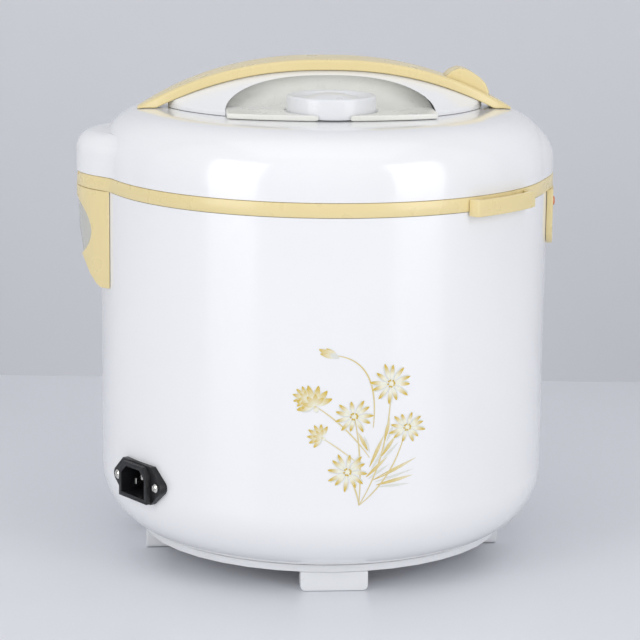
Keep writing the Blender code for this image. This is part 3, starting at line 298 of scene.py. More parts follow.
class Finish:
    """A Principled material that is built up from a few named layers."""

    def __init__(self, name, colour, roughness, metallic=0.0, coat=0.0):
        self.material = bpy.data.materials.new(name)
        self.material.use_nodes = True
        self.tree = self.material.node_tree
        self.shader = self.tree.nodes["Principled BSDF"]
        self.shader.inputs["Base Color"].default_value = (*colour, 1.0)
        self.shader.inputs["Roughness"].default_value = roughness
        self.shader.inputs["Metallic"].default_value = metallic
        self.shader.inputs["Coat Weight"].default_value = coat
        self.shader.inputs["Coat Roughness"].default_value = 0.08
        self.colour = colour
        self.roughness = roughness
        self.place = self.add("ShaderNodeTexCoord").outputs["Object"]
        self.tint = None
        self.height = None

    def add(self, kind, **settings):
        node = self.tree.nodes.new(kind)
        for key, value in settings.items():
            if hasattr(node, key):
                setattr(node, key, value)
            else:
                node.inputs[key].default_value = value
        return node

    def link(self, output, socket):
        self.tree.links.new(output, socket)

    def noise(self, scale, detail=2.0, stretch=(1.0, 1.0, 1.0), roughness=0.5):
        mapping = self.add("ShaderNodeMapping")
        mapping.inputs["Scale"].default_value = stretch
        self.link(self.place, mapping.inputs["Vector"])
        noise = self.add("ShaderNodeTexNoise", Scale=scale, Detail=detail, Roughness=roughness)
        self.link(mapping.outputs["Vector"], noise.inputs["Vector"])
        return noise.outputs["Fac"]

    def ramp(self, source, stops):
        """A colour ramp over stops of (position, colour)."""
        node = self.add("ShaderNodeValToRGB")
        elements = node.color_ramp.elements
        while len(elements) < len(stops):
            elements.new(0.5)
        for element, (position, colour) in zip(elements, stops):
            element.position = position
            element.color = (*colour, 1.0)
        self.link(source, node.inputs["Fac"])
        return node.outputs["Color"]

    def steps(self, source, low, high, to_low=0.0, to_high=1.0):
        node = self.add("ShaderNodeMapRange")
        for key, value in (("From Min", low), ("From Max", high), ("To Min", to_low), ("To Max", to_high)):
            node.inputs[key].default_value = value
        self.link(source, node.inputs["Value"])
        return node.outputs["Result"]

    def paint(self, mask, colour):
        """Lays a colour over what is there, where the mask is 1."""
        mix = self.add("ShaderNodeMix", data_type="RGBA")
        self.link(mask, mix.inputs["Factor"])
        if self.tint is None:
            mix.inputs["A"].default_value = (*self.colour, 1.0)
        else:
            self.link(self.tint, mix.inputs["A"])
        mix.inputs["B"].default_value = (*colour, 1.0)
        self.tint = mix.outputs["Result"]
        return self

    def mottle(self, scale, depth, warmth=1.0):
        """Slow, faint changes of colour across the piece."""
        darker = [c * (1 - depth) for c in self.colour]
        darker[2] *= warmth
        return self.paint(self.steps(self.noise(scale, 3.0), 0.42, 0.68), darker)

    def specks(self, scale, colour, cover=0.72):
        return self.paint(self.steps(self.noise(scale, 1.0), cover, cover + 0.05), colour)

    def vary_roughness(self, scale, spread):
        value = self.steps(self.noise(scale, 4.0), 0.3, 0.7, self.roughness - spread, self.roughness + spread)
        self.link(value, self.shader.inputs["Roughness"])
        return self

    def bump(self, source, strength, distance):
        node = self.add("ShaderNodeBump", Strength=strength, Distance=distance)
        self.link(source, node.inputs["Height"])
        if self.height is not None:
            self.link(self.height, node.inputs["Normal"])
        self.height = node.outputs["Normal"]
        return self

    def grain(self, scale, strength, distance=0.0002, detail=2.0):
        return self.bump(self.noise(scale, detail), strength, distance)

    def radius(self, x=0.0, y=None):
        """Distance from an upright axis."""
        move = self.add("ShaderNodeMapping")
        move.inputs["Location"].default_value = (-x, -(AXIS_Y if y is None else y), 0.0)
        move.inputs["Scale"].default_value = (1.0, 1.0, 0.0)
        self.link(self.place, move.inputs["Vector"])
        length = self.add("ShaderNodeVectorMath", operation="LENGTH")
        self.link(move.outputs["Vector"], length.inputs[0])
        return length.outputs["Value"]

    def height_above(self):
        split = self.add("ShaderNodeSeparateXYZ")
        self.link(self.place, split.inputs["Vector"])
        return split.outputs["Z"]

    def wave(self, source, pitch):
        """A sine over a distance, once every pitch."""
        scale = self.add("ShaderNodeMath", operation="MULTIPLY")
        self.link(source, scale.inputs[0])
        scale.inputs[1].default_value = math.tau / pitch
        wave = self.add("ShaderNodeMath", operation="SINE")
        self.link(scale.outputs["Value"], wave.inputs[0])
        return wave.outputs["Value"]

    def done(self):
        if self.tint is not None:
            self.link(self.tint, self.shader.inputs["Base Color"])
        if self.height is not None:
            self.link(self.height, self.shader.inputs["Normal"])
        return self.material


def finish(name):
    """The finish of that name, made the first time that it is asked for."""
    if name not in bpy.data.materials:
        FINISHES[name](bpy.context.scene.cooker_colours).name = name
    return bpy.data.materials[name]


def plain(name, colour, roughness, metallic, coat, mottle, spread, *grains):
    """A finish of one colour: its slow mottle, its uneven sheen and the grain of its surface."""
    paint = Finish(name, colour, roughness, metallic, coat)
    paint.mottle(*mottle).vary_roughness(*spread)
    for grain in grains:
        paint.grain(*grain)
    return paint


def enamel(colours):
    paint = plain("enamel", colours.enamel, 0.16, 0.0, 0.55, (9.0, 0.012), (60.0, 0.035),
                  (240.0, 0.05, 0.0004), (900.0, 0.02, 0.0001))
    return paint.specks(1500.0, [c * 0.93 for c in colours.enamel], 0.80).done()


def gloss_white(colours):
    return plain("gloss_white", colours.enamel, 0.17, 0.0, 0.45, (12.0, 0.014, 0.995), (45.0, 0.04),
                 (160.0, 0.05, 0.0004), (1600.0, 0.02, 0.0001)).done()


def satin_white(colours):
    return plain("satin_white", colours.white_plastic, 0.32, 0.0, 0.12, (25.0, 0.03, 0.98), (80.0, 0.06),
                 (2200.0, 0.10, 0.0001)).done()


# Painted shade: the finger bays' white is darker and warmer than the housing's, for the shade that falls inside
# the recesses
def shaded_bay_white(colours):
    return plain("shaded_bay_white", colours.bay, 0.30, 0.0, 0.15, (22.0, 0.03, 0.97), (80.0, 0.06),
                 (1800.0, 0.03, 0.0001)).done()


def cream(colours):
    return plain("cream", colours.cream, 0.30, 0.0, 0.20, (18.0, 0.03, 0.97), (70.0, 0.06),
                 (2400.0, 0.03, 0.0001)).done()


def black(colours):
    return plain("black", colours.black, 0.42, 0.0, 0.0, (60.0, 0.35), (120.0, 0.10), (2600.0, 0.25)).done()


def nickel(colours):
    return plain("nickel", (0.78, 0.77, 0.74), 0.22, 1.0, 0.0, (300.0, 0.15, 0.95), (400.0, 0.08),
                 (1800.0, 0.08, 0.0001)).done()


def zinc(colours):
    return plain("zinc", (0.60, 0.60, 0.61), 0.38, 1.0, 0.0, (90.0, 0.25, 1.03), (160.0, 0.12),
                 (900.0, 0.10)).done()


def galvanised(colours):
    return plain("galvanised", (0.62, 0.63, 0.64), 0.42, 1.0, 0.0, (55.0, 0.30, 1.02), (70.0, 0.14),
                 (300.0, 0.08, 0.0003)).done()


def spun_aluminium(colours):
    metal = plain("spun_aluminium", (0.74, 0.74, 0.75), 0.30, 1.0, 0.0, (14.0, 0.08), (30.0, 0.07))
    metal.bump(metal.wave(metal.radius(), 0.0011), 0.10, 0.0001)
    metal.bump(metal.wave(metal.height_above(), 0.0009), 0.08, 0.0001)
    return metal.grain(1500.0, 0.06, 0.0001).done()


def cast_aluminium(colours):
    return plain("cast_aluminium", (0.68, 0.68, 0.69), 0.50, 1.0, 0.0, (80.0, 0.22), (120.0, 0.12),
                 (700.0, 0.30, 0.0004)).done()


def silicone(colours):
    return plain("silicone", (0.76, 0.76, 0.74), 0.55, 0.0, 0.0, (40.0, 0.06, 0.98), (90.0, 0.08),
                 (1500.0, 0.12)).done()


def window(colours):
    lens = plain("window", colours.window, 0.20, 0.0, 0.5, (50.0, 0.05), (90.0, 0.05), (500.0, 0.05))
    lens.shader.inputs["Transmission Weight"].default_value = 0.35
    return lens.done()


def lamp_lens(name, colour):
    lens = plain(name, colour, 0.18, 0.0, 0.6, (400.0, 0.15), (300.0, 0.06), (900.0, 0.08, 0.0001))
    lens.shader.inputs["Transmission Weight"].default_value = 0.25
    return lens.done()


def printed_ink(colours):
    """The flower print: gold petals that pale towards their roots, and grey-green shadows and stems."""
    ink = Finish("printed_ink", colours.gold, 0.24, coat=0.45)
    shade = ink.add("ShaderNodeAttribute", attribute_name="shade").outputs["Fac"]
    ink.tint = ink.ramp(shade, [(0.0, colours.leaf), (0.32, colours.leaf), (0.36, colours.pale),
                                (0.62, colours.pale), (1.0, colours.gold)])
    ink.specks(2600.0, colours.pale, 0.66).vary_roughness(200.0, 0.05)
    return ink.grain(1200.0, 0.06, 0.0001).done()


FINISHES = {look.__name__: look for look in (
    enamel, gloss_white, satin_white, shaded_bay_white, cream, black, nickel, zinc, galvanised, spun_aluminium,
    cast_aluminium, silicone, window, printed_ink)}
FINISHES["orange_lens"] = lambda colours: lamp_lens("orange_lens", (0.90, 0.22, 0.04))
FINISHES["amber_lens"] = lambda colours: lamp_lens("amber_lens", (0.95, 0.58, 0.08))


# Sizes and colours that a user may change ----------------------------------------------------------------


def length(name, description, default):
    return bpy.props.FloatProperty(name=name, description=description, default=default, unit="LENGTH")


class CookerSizes(bpy.types.PropertyGroup):
    body_radius: length("Body radius", "Radius of the body's upright side", (SHELL_HIGH.x - SHELL_LOW.x) / 2)
    body_corner: length("Lower corner", "Radius of the rounding under the body", 0.040)
    shell_wall: length("Shell wall", "Thickness of the body's sheet metal", 0.0015)
    band_proud: length("Band proud", "How far the trim band stands off the body", 0.0006)
    band_height: length("Band height", "Height of the trim band", 0.0084)
    lid_shoulder: length("Lid shoulder", "Width of the lid's rounded shoulder", 0.036)
    lid_power: bpy.props.FloatProperty(name="Shoulder fullness", description="How square the lid's shoulder is",
                                       default=2.5)
    valley: length("Valley", "Softness of the valleys beside the lid's lobes", 0.0060)
    lid_wall: length("Lid wall", "Thickness of the lid's cover", 0.0025)
    strip_thickness: length("Strip thickness", "Thickness of the handle's strip", 0.0068)
    petal_length: length("Petal length", "Length of a printed flower's petal", 0.0112)


def colour_property(name, description, default):
    return bpy.props.FloatVectorProperty(name=name, description=description, default=default, subtype="COLOR",
                                         min=0.0, max=1.0)


class CookerColours(bpy.types.PropertyGroup):
    enamel: colour_property("Enamel", "White of the body and the lid", (0.88, 0.885, 0.90))
    white_plastic: colour_property("White plastic", "White of the feet, base and vent cap", (0.80, 0.81, 0.83))
    # Finger bays: painted shade, a white darker and warmer than the housing's, standing for the shade inside
    # the recesses
    bay: colour_property("Finger bays", "Warmer white inside the handle", (0.83, 0.83, 0.79))
    cream: colour_property("Cream", "Trim band, handle strip, dew cup and lid button", (0.83, 0.69, 0.36))
    black: colour_property("Black", "Mains inlet and switch", (0.006, 0.006, 0.008))
    window: colour_property("Window", "Clear window of the dew cup", (0.80, 0.80, 0.74))
    gold: colour_property("Gold ink", "Petal tips and stems of the print", (0.66, 0.47, 0.05))
    pale: colour_property("Pale ink", "Petal roots of the print", (0.86, 0.85, 0.72))
    leaf: colour_property("Leaf ink", "Grey-green shadows of the print", (0.72, 0.73, 0.68))


# Shapes that several pieces share ------------------------------------------------------------------------

SEAM_Z = RING_HIGH.z
LID_BASE_Z = LID_LOW.z
LID_TOP_Z = LID_HIGH.z
STRIP_TOP_Z = STRIP_HIGH.z
HANDLE_REACH = (STRIP_HIGH.y - STRIP_LOW.y) / 2
HANDLE_RISE = 0.0310  # from the ends of the strip to its top
REAR_LOBE = (AXIS_Y + 0.1050, 0.0500)  # centre and radius, seen from above
FRONT_LOBE = (AXIS_Y - 0.0700, 0.0740)
LOBES = (  # each lobe with the softness and the height of its top
    (REAR_LOBE, 0.012, LID_TOP_Z - 0.0135),
    (FRONT_LOBE, 0.022, LID_TOP_Z - 0.0095),
)
HINGE = next(Vector(j["pos_m"]) for j in frame["joints"] if j["name"] == "lid_hinge")
VENT_X = (CAP_LOW.x + CAP_HIGH.x) / 2
INLET_TURN = math.radians(214.0)
INLET_Z = 0.0610
BAY_REACH = 0.0640  # half the length of a finger bay
BAY_FLOOR = 0.0036  # its floor, over the lid's top
BAY_RISE = 0.0185  # its arch, over the floor
BAY_BACK = 0.0120  # its back, from the middle of the handle
UP = Vector((0.0, 0.0, 1.0))


def around(reach, angle, z):
    """A point at some reach from the cooker's axis."""
    return (reach * math.cos(angle), AXIS_Y + reach * math.sin(angle), z)


def soft_max(a, b, blend):
    """The larger of two lengths, with a fillet where they are nearly equal."""
    share = min(1.0, max(0.0, 0.5 + 0.5 * (a - b) / blend))
    return b + (a - b) * share + blend * share * (1 - share)


def lobe_reach(angle, centre, radius):
    """How far a lobe reaches from the axis in one direction, or 0 where it doesn't."""
    across = (centre - AXIS_Y) * math.cos(angle)
    along = (centre - AXIS_Y) * math.sin(angle)
    return max(0.0, along + math.sqrt(radius**2 - across**2)) if abs(across) < radius else 0.0


def lobed_reach(angle, band_radius, blend=0.0):
    """How far the lid and ring reach from the axis in one direction."""
    reach = band_radius
    for centre, radius in (REAR_LOBE, FRONT_LOBE):
        far = lobe_reach(angle, centre, radius)
        if far > 0:
            reach = soft_max(reach, far, blend) if blend else max(reach, far)
    return reach


def strip_top(along):
    share = min(1.0, abs(along) / HANDLE_REACH)
    return STRIP_TOP_Z - HANDLE_RISE * share**2.3


def lid_surface(radius, sizes):
    share = min(1.0, max(0.0, radius - (sizes.body_radius - sizes.lid_shoulder)) / sizes.lid_shoulder)
    lift = (1 - share**sizes.lid_power) ** (1 / sizes.lid_power)
    return LID_TOP_Z - sizes.lid_shoulder * (1 - lift)


def strip_bottom(along, sizes):
    return max(strip_top(along) - sizes.strip_thickness, lid_surface(abs(along), sizes) + GAP)


def strip_half_width(along):
    return (STRIP_HIGH.x - STRIP_LOW.x) / 2 * math.sqrt(max(0.0, 1 - (along / (HANDLE_REACH + 0.0015)) ** 4))


def housing_half_width(along):
    return math.sqrt(0.1060**2 - along**2) - 0.0357


def bay_height(along):
    share = min(1.0, abs(along) / BAY_REACH)
    return BAY_FLOOR + BAY_RISE * (1 - share**2.4) ** 0.6


def arch_cutter(name, side, near, far, inset):
    """The outline of a finger bay, drawn out sideways from the handle."""
    half = BAY_REACH - inset
    outline = [(-half, LID_TOP_Z - 0.002)]
    for i in range(61):
        along = -half * math.cos(math.pi * i / 60)
        outline.append((along, LID_TOP_Z + bay_height(along * BAY_REACH / half) - inset))
    outline.append((half, LID_TOP_Z - 0.002))
    obj = prism(name, outline, near, far)
    turn = Matrix(((0, 0, side, 0), (side, 0, 0, AXIS_Y), (0, 1, 0, 0), (0, 0, 0, 1)))
    obj.data.transform(turn)
    return obj


def arc(radius, start, end, count, centre=(0.0, 0.0)):
    angles = [start + (end - start) * i / count for i in range(count + 1)]
    return [(centre[0] + radius * math.cos(a), centre[1] + radius * math.sin(a)) for a in angles]


# Pieces ------------------------------------------------------------------------------------------------


class PieceOperator:
    """What every piece's operator shares."""

    bl_options = {"REGISTER", "UNDO"}

    def execute(self, context):
        self.build(context.scene.cooker_sizes)
        return {"FINISHED"}


class COOKER_OT_body_shell(PieceOperator, bpy.types.Operator):
    """Enamelled body with a rounded lower edge and openings for the inlet and the switch"""

    bl_idname = "cooker.body_shell"
    bl_label = "Body shell"

    def build(self, sizes):
        top, low = SHELL_HIGH.z, SHELL_LOW.z
        end = math.radians(68.7)
        middle = sizes.body_radius - sizes.body_corner
        corner_z = low + sizes.body_corner * math.sin(end)

        def side(inset, count):
            points = arc(sizes.body_corner - inset, 0.0, -end, count, (middle, corner_z))
            return [(sizes.body_radius - inset, top), (sizes.body_radius - inset, top - 0.08)] + points

        profile = side(0.0, 28) + side(sizes.shell_wall, 14)[::-1]
        shell = turned("body_skin", profile, steps=224, loop=True)
        corners = [(-0.015, -0.011), (0.015, -0.011), (0.015, 0.011), (-0.015, 0.011)]
        mouth = prism("mouth", corners, -0.02, 0.02)
        slot = slab("slot", (-0.0076, AXIS_Y - 0.15, 0.2020), (0.0076, AXIS_Y - 0.13, 0.2200))
        shaded(cut(shell, facing(mouth, INLET_TURN, sizes.body_radius, INLET_Z), slot), 35)
        fit_on(shell, "body", "white_enamel", finish("enamel"), "outer_shell")


class COOKER_OT_underside(PieceOperator, bpy.types.Operator):
    """Base cover with its vents, the four feet and the base screws"""

    bl_idname = "cooker.underside"
    bl_label = "Underside and feet"

    def build(self, sizes):
        refit("base_cover", "base_plate", "body", "white_plastic", "satin_white", 0.0005, 3)
        for side in ("front", "right", "rear", "left"):
            refit(f"foot_{side}", f"foot_{side}_block", "body", "white_plastic", "satin_white", 0.0011, 4)
        for number in (1, 2, 3):
            low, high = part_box(f"base_screw_{number}")
            middle = ((low.x + high.x) / 2, (low.y + high.y) / 2)
            profile = [(0.0, high.z), (0.0032, high.z), (0.0032, low.z + 0.0010), (0.0026, low.z + 0.0004),
                       (0.0018, low.z), (0.0, low.z)]
            screw = turned(f"base_screw_head_{number}", profile, middle, 32)
            for turn in (0.0, math.pi / 2):
                x, y = 0.0019 * math.cos(turn), 0.0019 * math.sin(turn)
                drive = slab("drive", (middle[0] - x - 0.0003, middle[1] - y - 0.0003, low.z - 0.001),
                             (middle[0] + x + 0.0003, middle[1] + y + 0.0003, low.z + 0.0008))
                cut(screw, drive)
            fit_on(screw, "body", "zinc_steel", finish("zinc"), f"base_screw_{number}")


class COOKER_OT_trim_ring(PieceOperator, bpy.types.Operator):
    """Cream ring round the pot's mouth, which shows outside as the trim band"""

    bl_idname = "cooker.trim_ring"
    bl_label = "Trim ring"

    def build(self, sizes):
        band = sizes.body_radius + sizes.band_proud
        low = SEAM_Z - sizes.band_height
        skirt = sizes.body_radius - sizes.shell_wall - GAP
        ledge = SEAM_Z - 0.0055
        rows = []
        for i in range(288):
            angle = math.tau * i / 288
            reach = lobed_reach(angle, band, sizes.valley)
            section = [
                (reach - 0.0006, SEAM_Z), (reach - 0.0002, SEAM_Z - 0.00015), (reach, SEAM_Z - 0.0006),
                (reach, low + 0.0005), (reach - 0.00015, low + 0.00015), (reach - 0.0005, low), (skirt, low),
                (skirt, low - 0.0052), (skirt - 0.002, low - 0.0052), (skirt - 0.002, SEAM_Z - 0.0024),
                (0.1215, SEAM_Z - 0.0024), (0.1215, ledge - 0.0065), (0.1195, ledge - 0.0065),
                (0.1195, ledge - 0.0017), (0.1168, ledge - 0.0017), (0.1168, ledge), (0.1195, ledge),
                (0.1195, SEAM_Z - 0.0004), (0.1199, SEAM_Z),
            ]
            rows.append([around(r, angle, z) for r, z in section])
        ring = draped("trim_ring", rows, 35.0, round_trip=True)
        y, z = HINGE.y, HINGE.z
        notch = slab("notch", (-0.0065, y - 0.0035, low - 0.005), (0.0065, 0.17, SEAM_Z + 0.005))
        relief = slab("relief", (-0.030, y, z), (0.030, 0.17, SEAM_Z + 0.005))
        roll = bar("roll", 0.0052, (-0.04, y, z), (0.04, y, z), 48)
        latch_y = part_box("latch_hook")[1].y - 0.0018
        latch = slab("latch", (-0.0085, latch_y - 0.0060, SEAM_Z - 0.0067),
                     (0.0085, latch_y + 0.0036, SEAM_Z + 0.005))
        bore = bar("bore", 0.0018, (-0.0165, y, z), (0.0165, y, z), 24)
        shaded(cut(ring, notch, cut(relief, roll), latch, bore), 35)
        fit_on(ring, "body", "cream_plastic", finish("cream"), "upper_ring")


class COOKER_OT_lid_cover(PieceOperator, bpy.types.Operator):
    """Domed lid cover that flows into a rear lobe over the hinge and a front lobe over the switch"""

    bl_idname = "cooker.lid_cover"
    bl_label = "Lid cover"

    def width_at(self, z, radius, soft, top, power):
        """Radius of a round-shouldered dome at one height, or 0 above its flat top."""
        if z > top:
            return 0.0
        share = max(0.0, z - (top - soft)) / soft
        return radius - soft + soft * max(0.0, 1 - share**power) ** (1 / power)

    def levels(self, sizes):
        """Heights of the surface's rows, closer together where a shoulder or a lobe's top turns."""
        lobe_tops = [top for lobe, soft, top in LOBES]
        heights = {LID_BASE_Z, LID_BASE_Z + 0.0004, LID_BASE_Z + 0.006, LID_TOP_Z - sizes.lid_shoulder + 0.004}
        for lobe, soft, top in ((None, sizes.lid_shoulder, LID_TOP_Z), *LOBES):
            heights.update(top - soft * (1 - math.sin(math.pi / 2 * i / 20) ** 0.8) for i in range(1, 20))
        heights.update(LID_TOP_Z - sizes.lid_shoulder * drop for drop in (0.0008, 0.0003))
        for top in lobe_tops:
            heights.update((top - 0.00001, top + 0.00001))
        ordered = sorted(h for h in heights if LID_BASE_Z <= h < LID_TOP_Z)
        kept = ordered[:1]
        for height in ordered[1:]:
            close = 0.00001 if any(abs(height - top) < 0.0001 for top in lobe_tops) else 0.0003
            if height - kept[-1] >= close:
                kept.append(height)
        return kept

    def outside(self, name, sizes, inset, low):
        """The cover's surface, or the room inside it where it is inset."""
        angles = [math.tau * i / 320 for i in range(320)]
        rows = []
        for z in self.levels(sizes):
            main = self.width_at(z, sizes.body_radius, sizes.lid_shoulder, LID_TOP_Z, sizes.lid_power)
            row = []
            for angle in angles:
                reach = main
                for (centre, radius), soft, top in LOBES:
                    wide = self.width_at(z, radius, soft, top, 2.0)
                    far = lobe_reach(angle, centre, wide) if wide else 0.0
                    if far > 0:
                        reach = soft_max(reach, far, sizes.valley)
                row.append(around(reach - inset, angle, z - inset))
            rows.append(row)
        flat = sizes.body_radius - sizes.lid_shoulder - inset
        for share in (1.0, 0.85, 0.5, 0.15):
            rows.append([around(flat * share, angle, LID_TOP_Z - inset) for angle in angles])
        rows[0] = [(x, y, low) for x, y, z in rows[0]]
        return draped(name, rows, 50.0)

    def build(self, sizes):
        cover = self.outside("lid_dome", sizes, 0.0, LID_BASE_Z)
        cut(cover, self.outside("lid_room", sizes, sizes.lid_wall, LID_BASE_Z - 0.01))
        cut(cover, bar("vent", 0.0113, (VENT_X, AXIS_Y, 0.27), (VENT_X, AXIS_Y, 0.30), 48))
        clean(cover, 1e-6, 50.0)
        fit_on(cover, "lid", "white_gloss", finish("gloss_white"), "lid_cover")


class COOKER_OT_handle(PieceOperator, bpy.types.Operator):
    """White handle housing and the arched cream strip on top of it"""

    bl_idname = "cooker.handle"
    bl_label = "Handle"

    def housing(self, name, sizes, inset, low, count):
        """The housing's outside, or the room inside it where it is inset."""
        rows = []
        half_length = (HOUSING_HIGH.y - HOUSING_LOW.y) / 2 - inset
        for i in range(count + 1):
            along = -half_length * math.cos(math.pi * i / count)
            top = strip_bottom(along, sizes) - GAP - inset
            riser = min(LID_TOP_Z + 0.0025 - inset / 2, top - 0.0002)
            wide = max(housing_half_width(along) - inset, 0.0012)
            narrow = min(strip_half_width(along) - 0.0012 - inset, wide * 0.96)
            right = [(wide, low), (wide, riser - (riser - low) * 0.2), (wide - 0.0004, riser)]
            for step in range(1, 11):
                share = step / 10
                right.append((wide + (narrow - wide) * share, riser + (top - riser) * share**1.10))
            half = [(x, AXIS_Y - along, z) for x, z in right]
            rows.append(half + [(-x, y, z) for x, y, z in reversed(half)])
        return draped(name, rows, 32.0)

    def build(self, sizes):
        body = self.housing("handle_body", sizes, 0.0, LID_TOP_Z + GAP, 72)
        cut(body, self.housing("handle_room", sizes, 0.0025, LID_TOP_Z - 0.005, 32))
        for side in (-1, 1):
            cut(body, arch_cutter("bay_mouth", side, BAY_BACK, 0.090, 0.0))
        fit_on(shaded(body, 32), "lid", "white_gloss", finish("gloss_white"), "handle_housing")

        rows = []
        for i in range(145):
            along = -HANDLE_REACH * math.cos(math.pi * i / 144)
            wide, top, low = strip_half_width(along), strip_top(along), strip_bottom(along, sizes)
            soft = min(0.0020, (top - low) * 0.45, wide * 0.4)
            crown = min(0.0004, (top - low) * 0.2)
            half = [(wide - soft * 0.3, low), (wide, low + soft * 0.3)]
            half += [(wide - soft + soft * math.cos(a), top - crown - soft + soft * math.sin(a))
                     for a in [math.pi / 2 * k / 6 for k in range(7)]]
            half += [(wide * 0.6, top - crown * 0.35), (wide * 0.25, top - crown * 0.05)]
            half = [(x, AXIS_Y - along, z) for x, z in half] + [(0.0, AXIS_Y - along, top)]
            rows.append(half + [(-x, y, z) for x, y, z in reversed(half[:-1])])
        strip = draped("handle_cap", rows, 34.0)
        low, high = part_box("lid_button")
        room = 0.0004
        cut(strip, slab("slot", (low.x - room, low.y - room, 0.27), (high.x + room, high.y + room, 0.33)))
        fit_on(shaded(strip, 34), "lid", "cream_plastic", finish("cream"), "handle_strip")


class COOKER_OT_finger_bays(PieceOperator, bpy.types.Operator):
    """Moulded liners of the two finger bays, each a floor that sweeps up into a concave back"""

    bl_idname = "cooker.finger_bays"
    bl_label = "Finger bays"

    def build(self, sizes):
        floor = LID_TOP_Z + BAY_FLOOR
        low = LID_TOP_Z + GAP
        half, back = BAY_REACH - GAP, BAY_BACK + GAP
        edge_far, sag = 0.0750, 0.0120
        radius = half**2 / (2 * sag) + sag / 2
        swing = math.asin(half / radius)
        for side, name, node in ((-1, "vent_side_bay", "vent_bay"), (1, "plain_side_bay", "grip_bay")):
            outline = [(back, half), (back, -half)] + arc(radius, -swing, swing, 48, (edge_far - radius, 0.0))
            bay = prism(name, [(x * side, AXIS_Y + y * side) for x, y in outline], low, floor, 0.0009, 4)
            curve = [(back + 0.0015 + 0.0220 * (1 - math.cos(math.pi / 2 * i / 20)),
                      floor - 0.0004 + BAY_RISE * (1 - math.sin(math.pi / 2 * i / 20))) for i in range(21)]
            section = [(back, low), (curve[-1][0], low)] + curve[::-1] + [(back, curve[0][1] + 0.0001)]
            cove = prism(name + "_cove", section, -half, half)
            cove.data.transform(Matrix(((side, 0, 0, 0), (0, 0, -side, AXIS_Y), (0, 1, 0, 0), (0, 0, 0, 1))))
            combine(cove, arch_cutter(name + "_arch", side, 0.005, 0.095, GAP), "INTERSECT")
            combine(bay, cove, "UNION")
            if side < 0:
                cut(bay, bar("seat", (CAP_HIGH.x - CAP_LOW.x) / 2 + 0.0012, (VENT_X, AXIS_Y, 0.25),
                             (VENT_X, AXIS_Y, 0.32), 96))
            clean(bay, WELD, 34.0)
            # The bays get the white with painted shade, darker and warmer than the housing's
            fit_on(bay, "lid", "bay_white", finish("shaded_bay_white"), node)


class COOKER_OT_steam_vent(PieceOperator, bpy.types.Operator):
    """Lift-off steam cap with a rim, a moat and a low dome, over its tube"""

    bl_idname = "cooker.steam_vent"
    bl_label = "Steam vent"

    def build(self, sizes):
        radius, top, base = (CAP_HIGH.x - CAP_LOW.x) / 2, CAP_HIGH.z - 0.0012, CAP_LOW.z
        profile = [(0.0, top + 0.0012), (0.0050, top + 0.0010), (0.0090, top + 0.0004), (0.0130, top - 0.0007),
                   (0.0160, top - 0.0018), (0.0180, top - 0.0024), (0.0205, top - 0.0027),
                   (0.0222, top - 0.0022), (0.0233, top - 0.0010), (0.0242, top - 0.0002)]
        profile += arc(0.0014, math.radians(100), 0.0, 8, (radius - 0.0014, top - 0.0014))
        profile += [(radius, base + 0.0025), (radius + 0.00004, base + 0.0010),
                    (radius - 0.0003, base + 0.0002), (radius - 0.0006, base), (radius - 0.0022, base), (radius - 0.0022, top - 0.0050),
                    (0.0, top - 0.0050)]
        cap = turned("steam_cap", profile, (VENT_X, AXIS_Y), 144)
        for side in (-1, 1):
            middle = AXIS_Y + side * (radius + 0.0001)
            tab = slab("tab", (VENT_X - 0.0030, middle - 0.0008, base),
                       (VENT_X + 0.0030, middle + 0.0008, base + 0.0030))
            combine(cap, round_edges(tab, 0.0003, 2), "UNION")
        fit_on(shaded(cap, 38), "vent", "white_plastic", finish("satin_white"), "vent_cap")
        refit("vent_tube", "steam_tube", "lid", "white_plastic", "satin_white", 0.0003)


class COOKER_OT_lid_button(PieceOperator, bpy.types.Operator):
    """Thumb button at the handle's front end, with the latch that it works"""

    bl_idname = "cooker.lid_button"
    bl_label = "Lid button and latch"

    def build(self, sizes):
        refit("lid_button", "thumb_button", "button", "cream_plastic", "cream", 0.0019, 5, 40.0)
        refit("latch_hook", "latch_plate", "latch", "zinc_steel", "zinc", 0.0002)
        refit("latch_pin", "latch_axle", "lid", "zinc_steel", "zinc", 0.0001)


class COOKER_OT_dew_cup(PieceOperator, bpy.types.Operator):
    """Removable cup at the back that catches condensed water, with its window"""

    bl_idname = "cooker.dew_cup"
    bl_label = "Dew cup"

    def build(self, sizes):
        refit("dew_cup", "dew_catcher", "dew_catcher", "cream_plastic", "cream", 0.0007, 3, 36.0)
        refit("dew_window", "dew_pane", "dew_catcher", "clear_plastic", "window", 0.0003, 2, 36.0)


class COOKER_OT_controls(PieceOperator, bpy.types.Operator):
    """Control panel with the cook key, its switch and the two lamps"""

    bl_idname = "cooker.controls"
    bl_label = "Controls"

    def build(self, sizes):
        refit("control_panel", "switch_panel", "body", "cream_plastic", "cream", 0.0006, 3, 36.0)
        refit("cook_key", "cook_lever", "cook_switch", "white_plastic", "satin_white")
        refit("lamp_cook", "cook_lamp", "body", "lamp_cook_lens", "orange_lens")
        refit("lamp_warm", "warm_lamp", "body", "lamp_warm_lens", "amber_lens")
        refit("micro_switch", "switch_box", "body", "black_plastic", "black", 0.0005)


class COOKER_OT_mains_inlet(PieceOperator, bpy.types.Operator):
    """Panel inlet for the mains lead, with its pins and screws"""

    bl_idname = "cooker.mains_inlet"
    bl_label = "Mains inlet"

    def build(self, sizes):
        refit("mains_inlet", "inlet_socket", "body", "black_plastic", "black", 0.0005, 3)
        for wire in ("line", "neutral", "earth"):
            refit(f"inlet_pin_{wire}", f"inlet_blade_{wire}", "body", "nickel_brass", "nickel")
        for side in ("left", "right"):
            refit(f"inlet_screw_{side}", f"inlet_fixing_{side}", "body", "nickel_brass", "nickel", 0.00015)


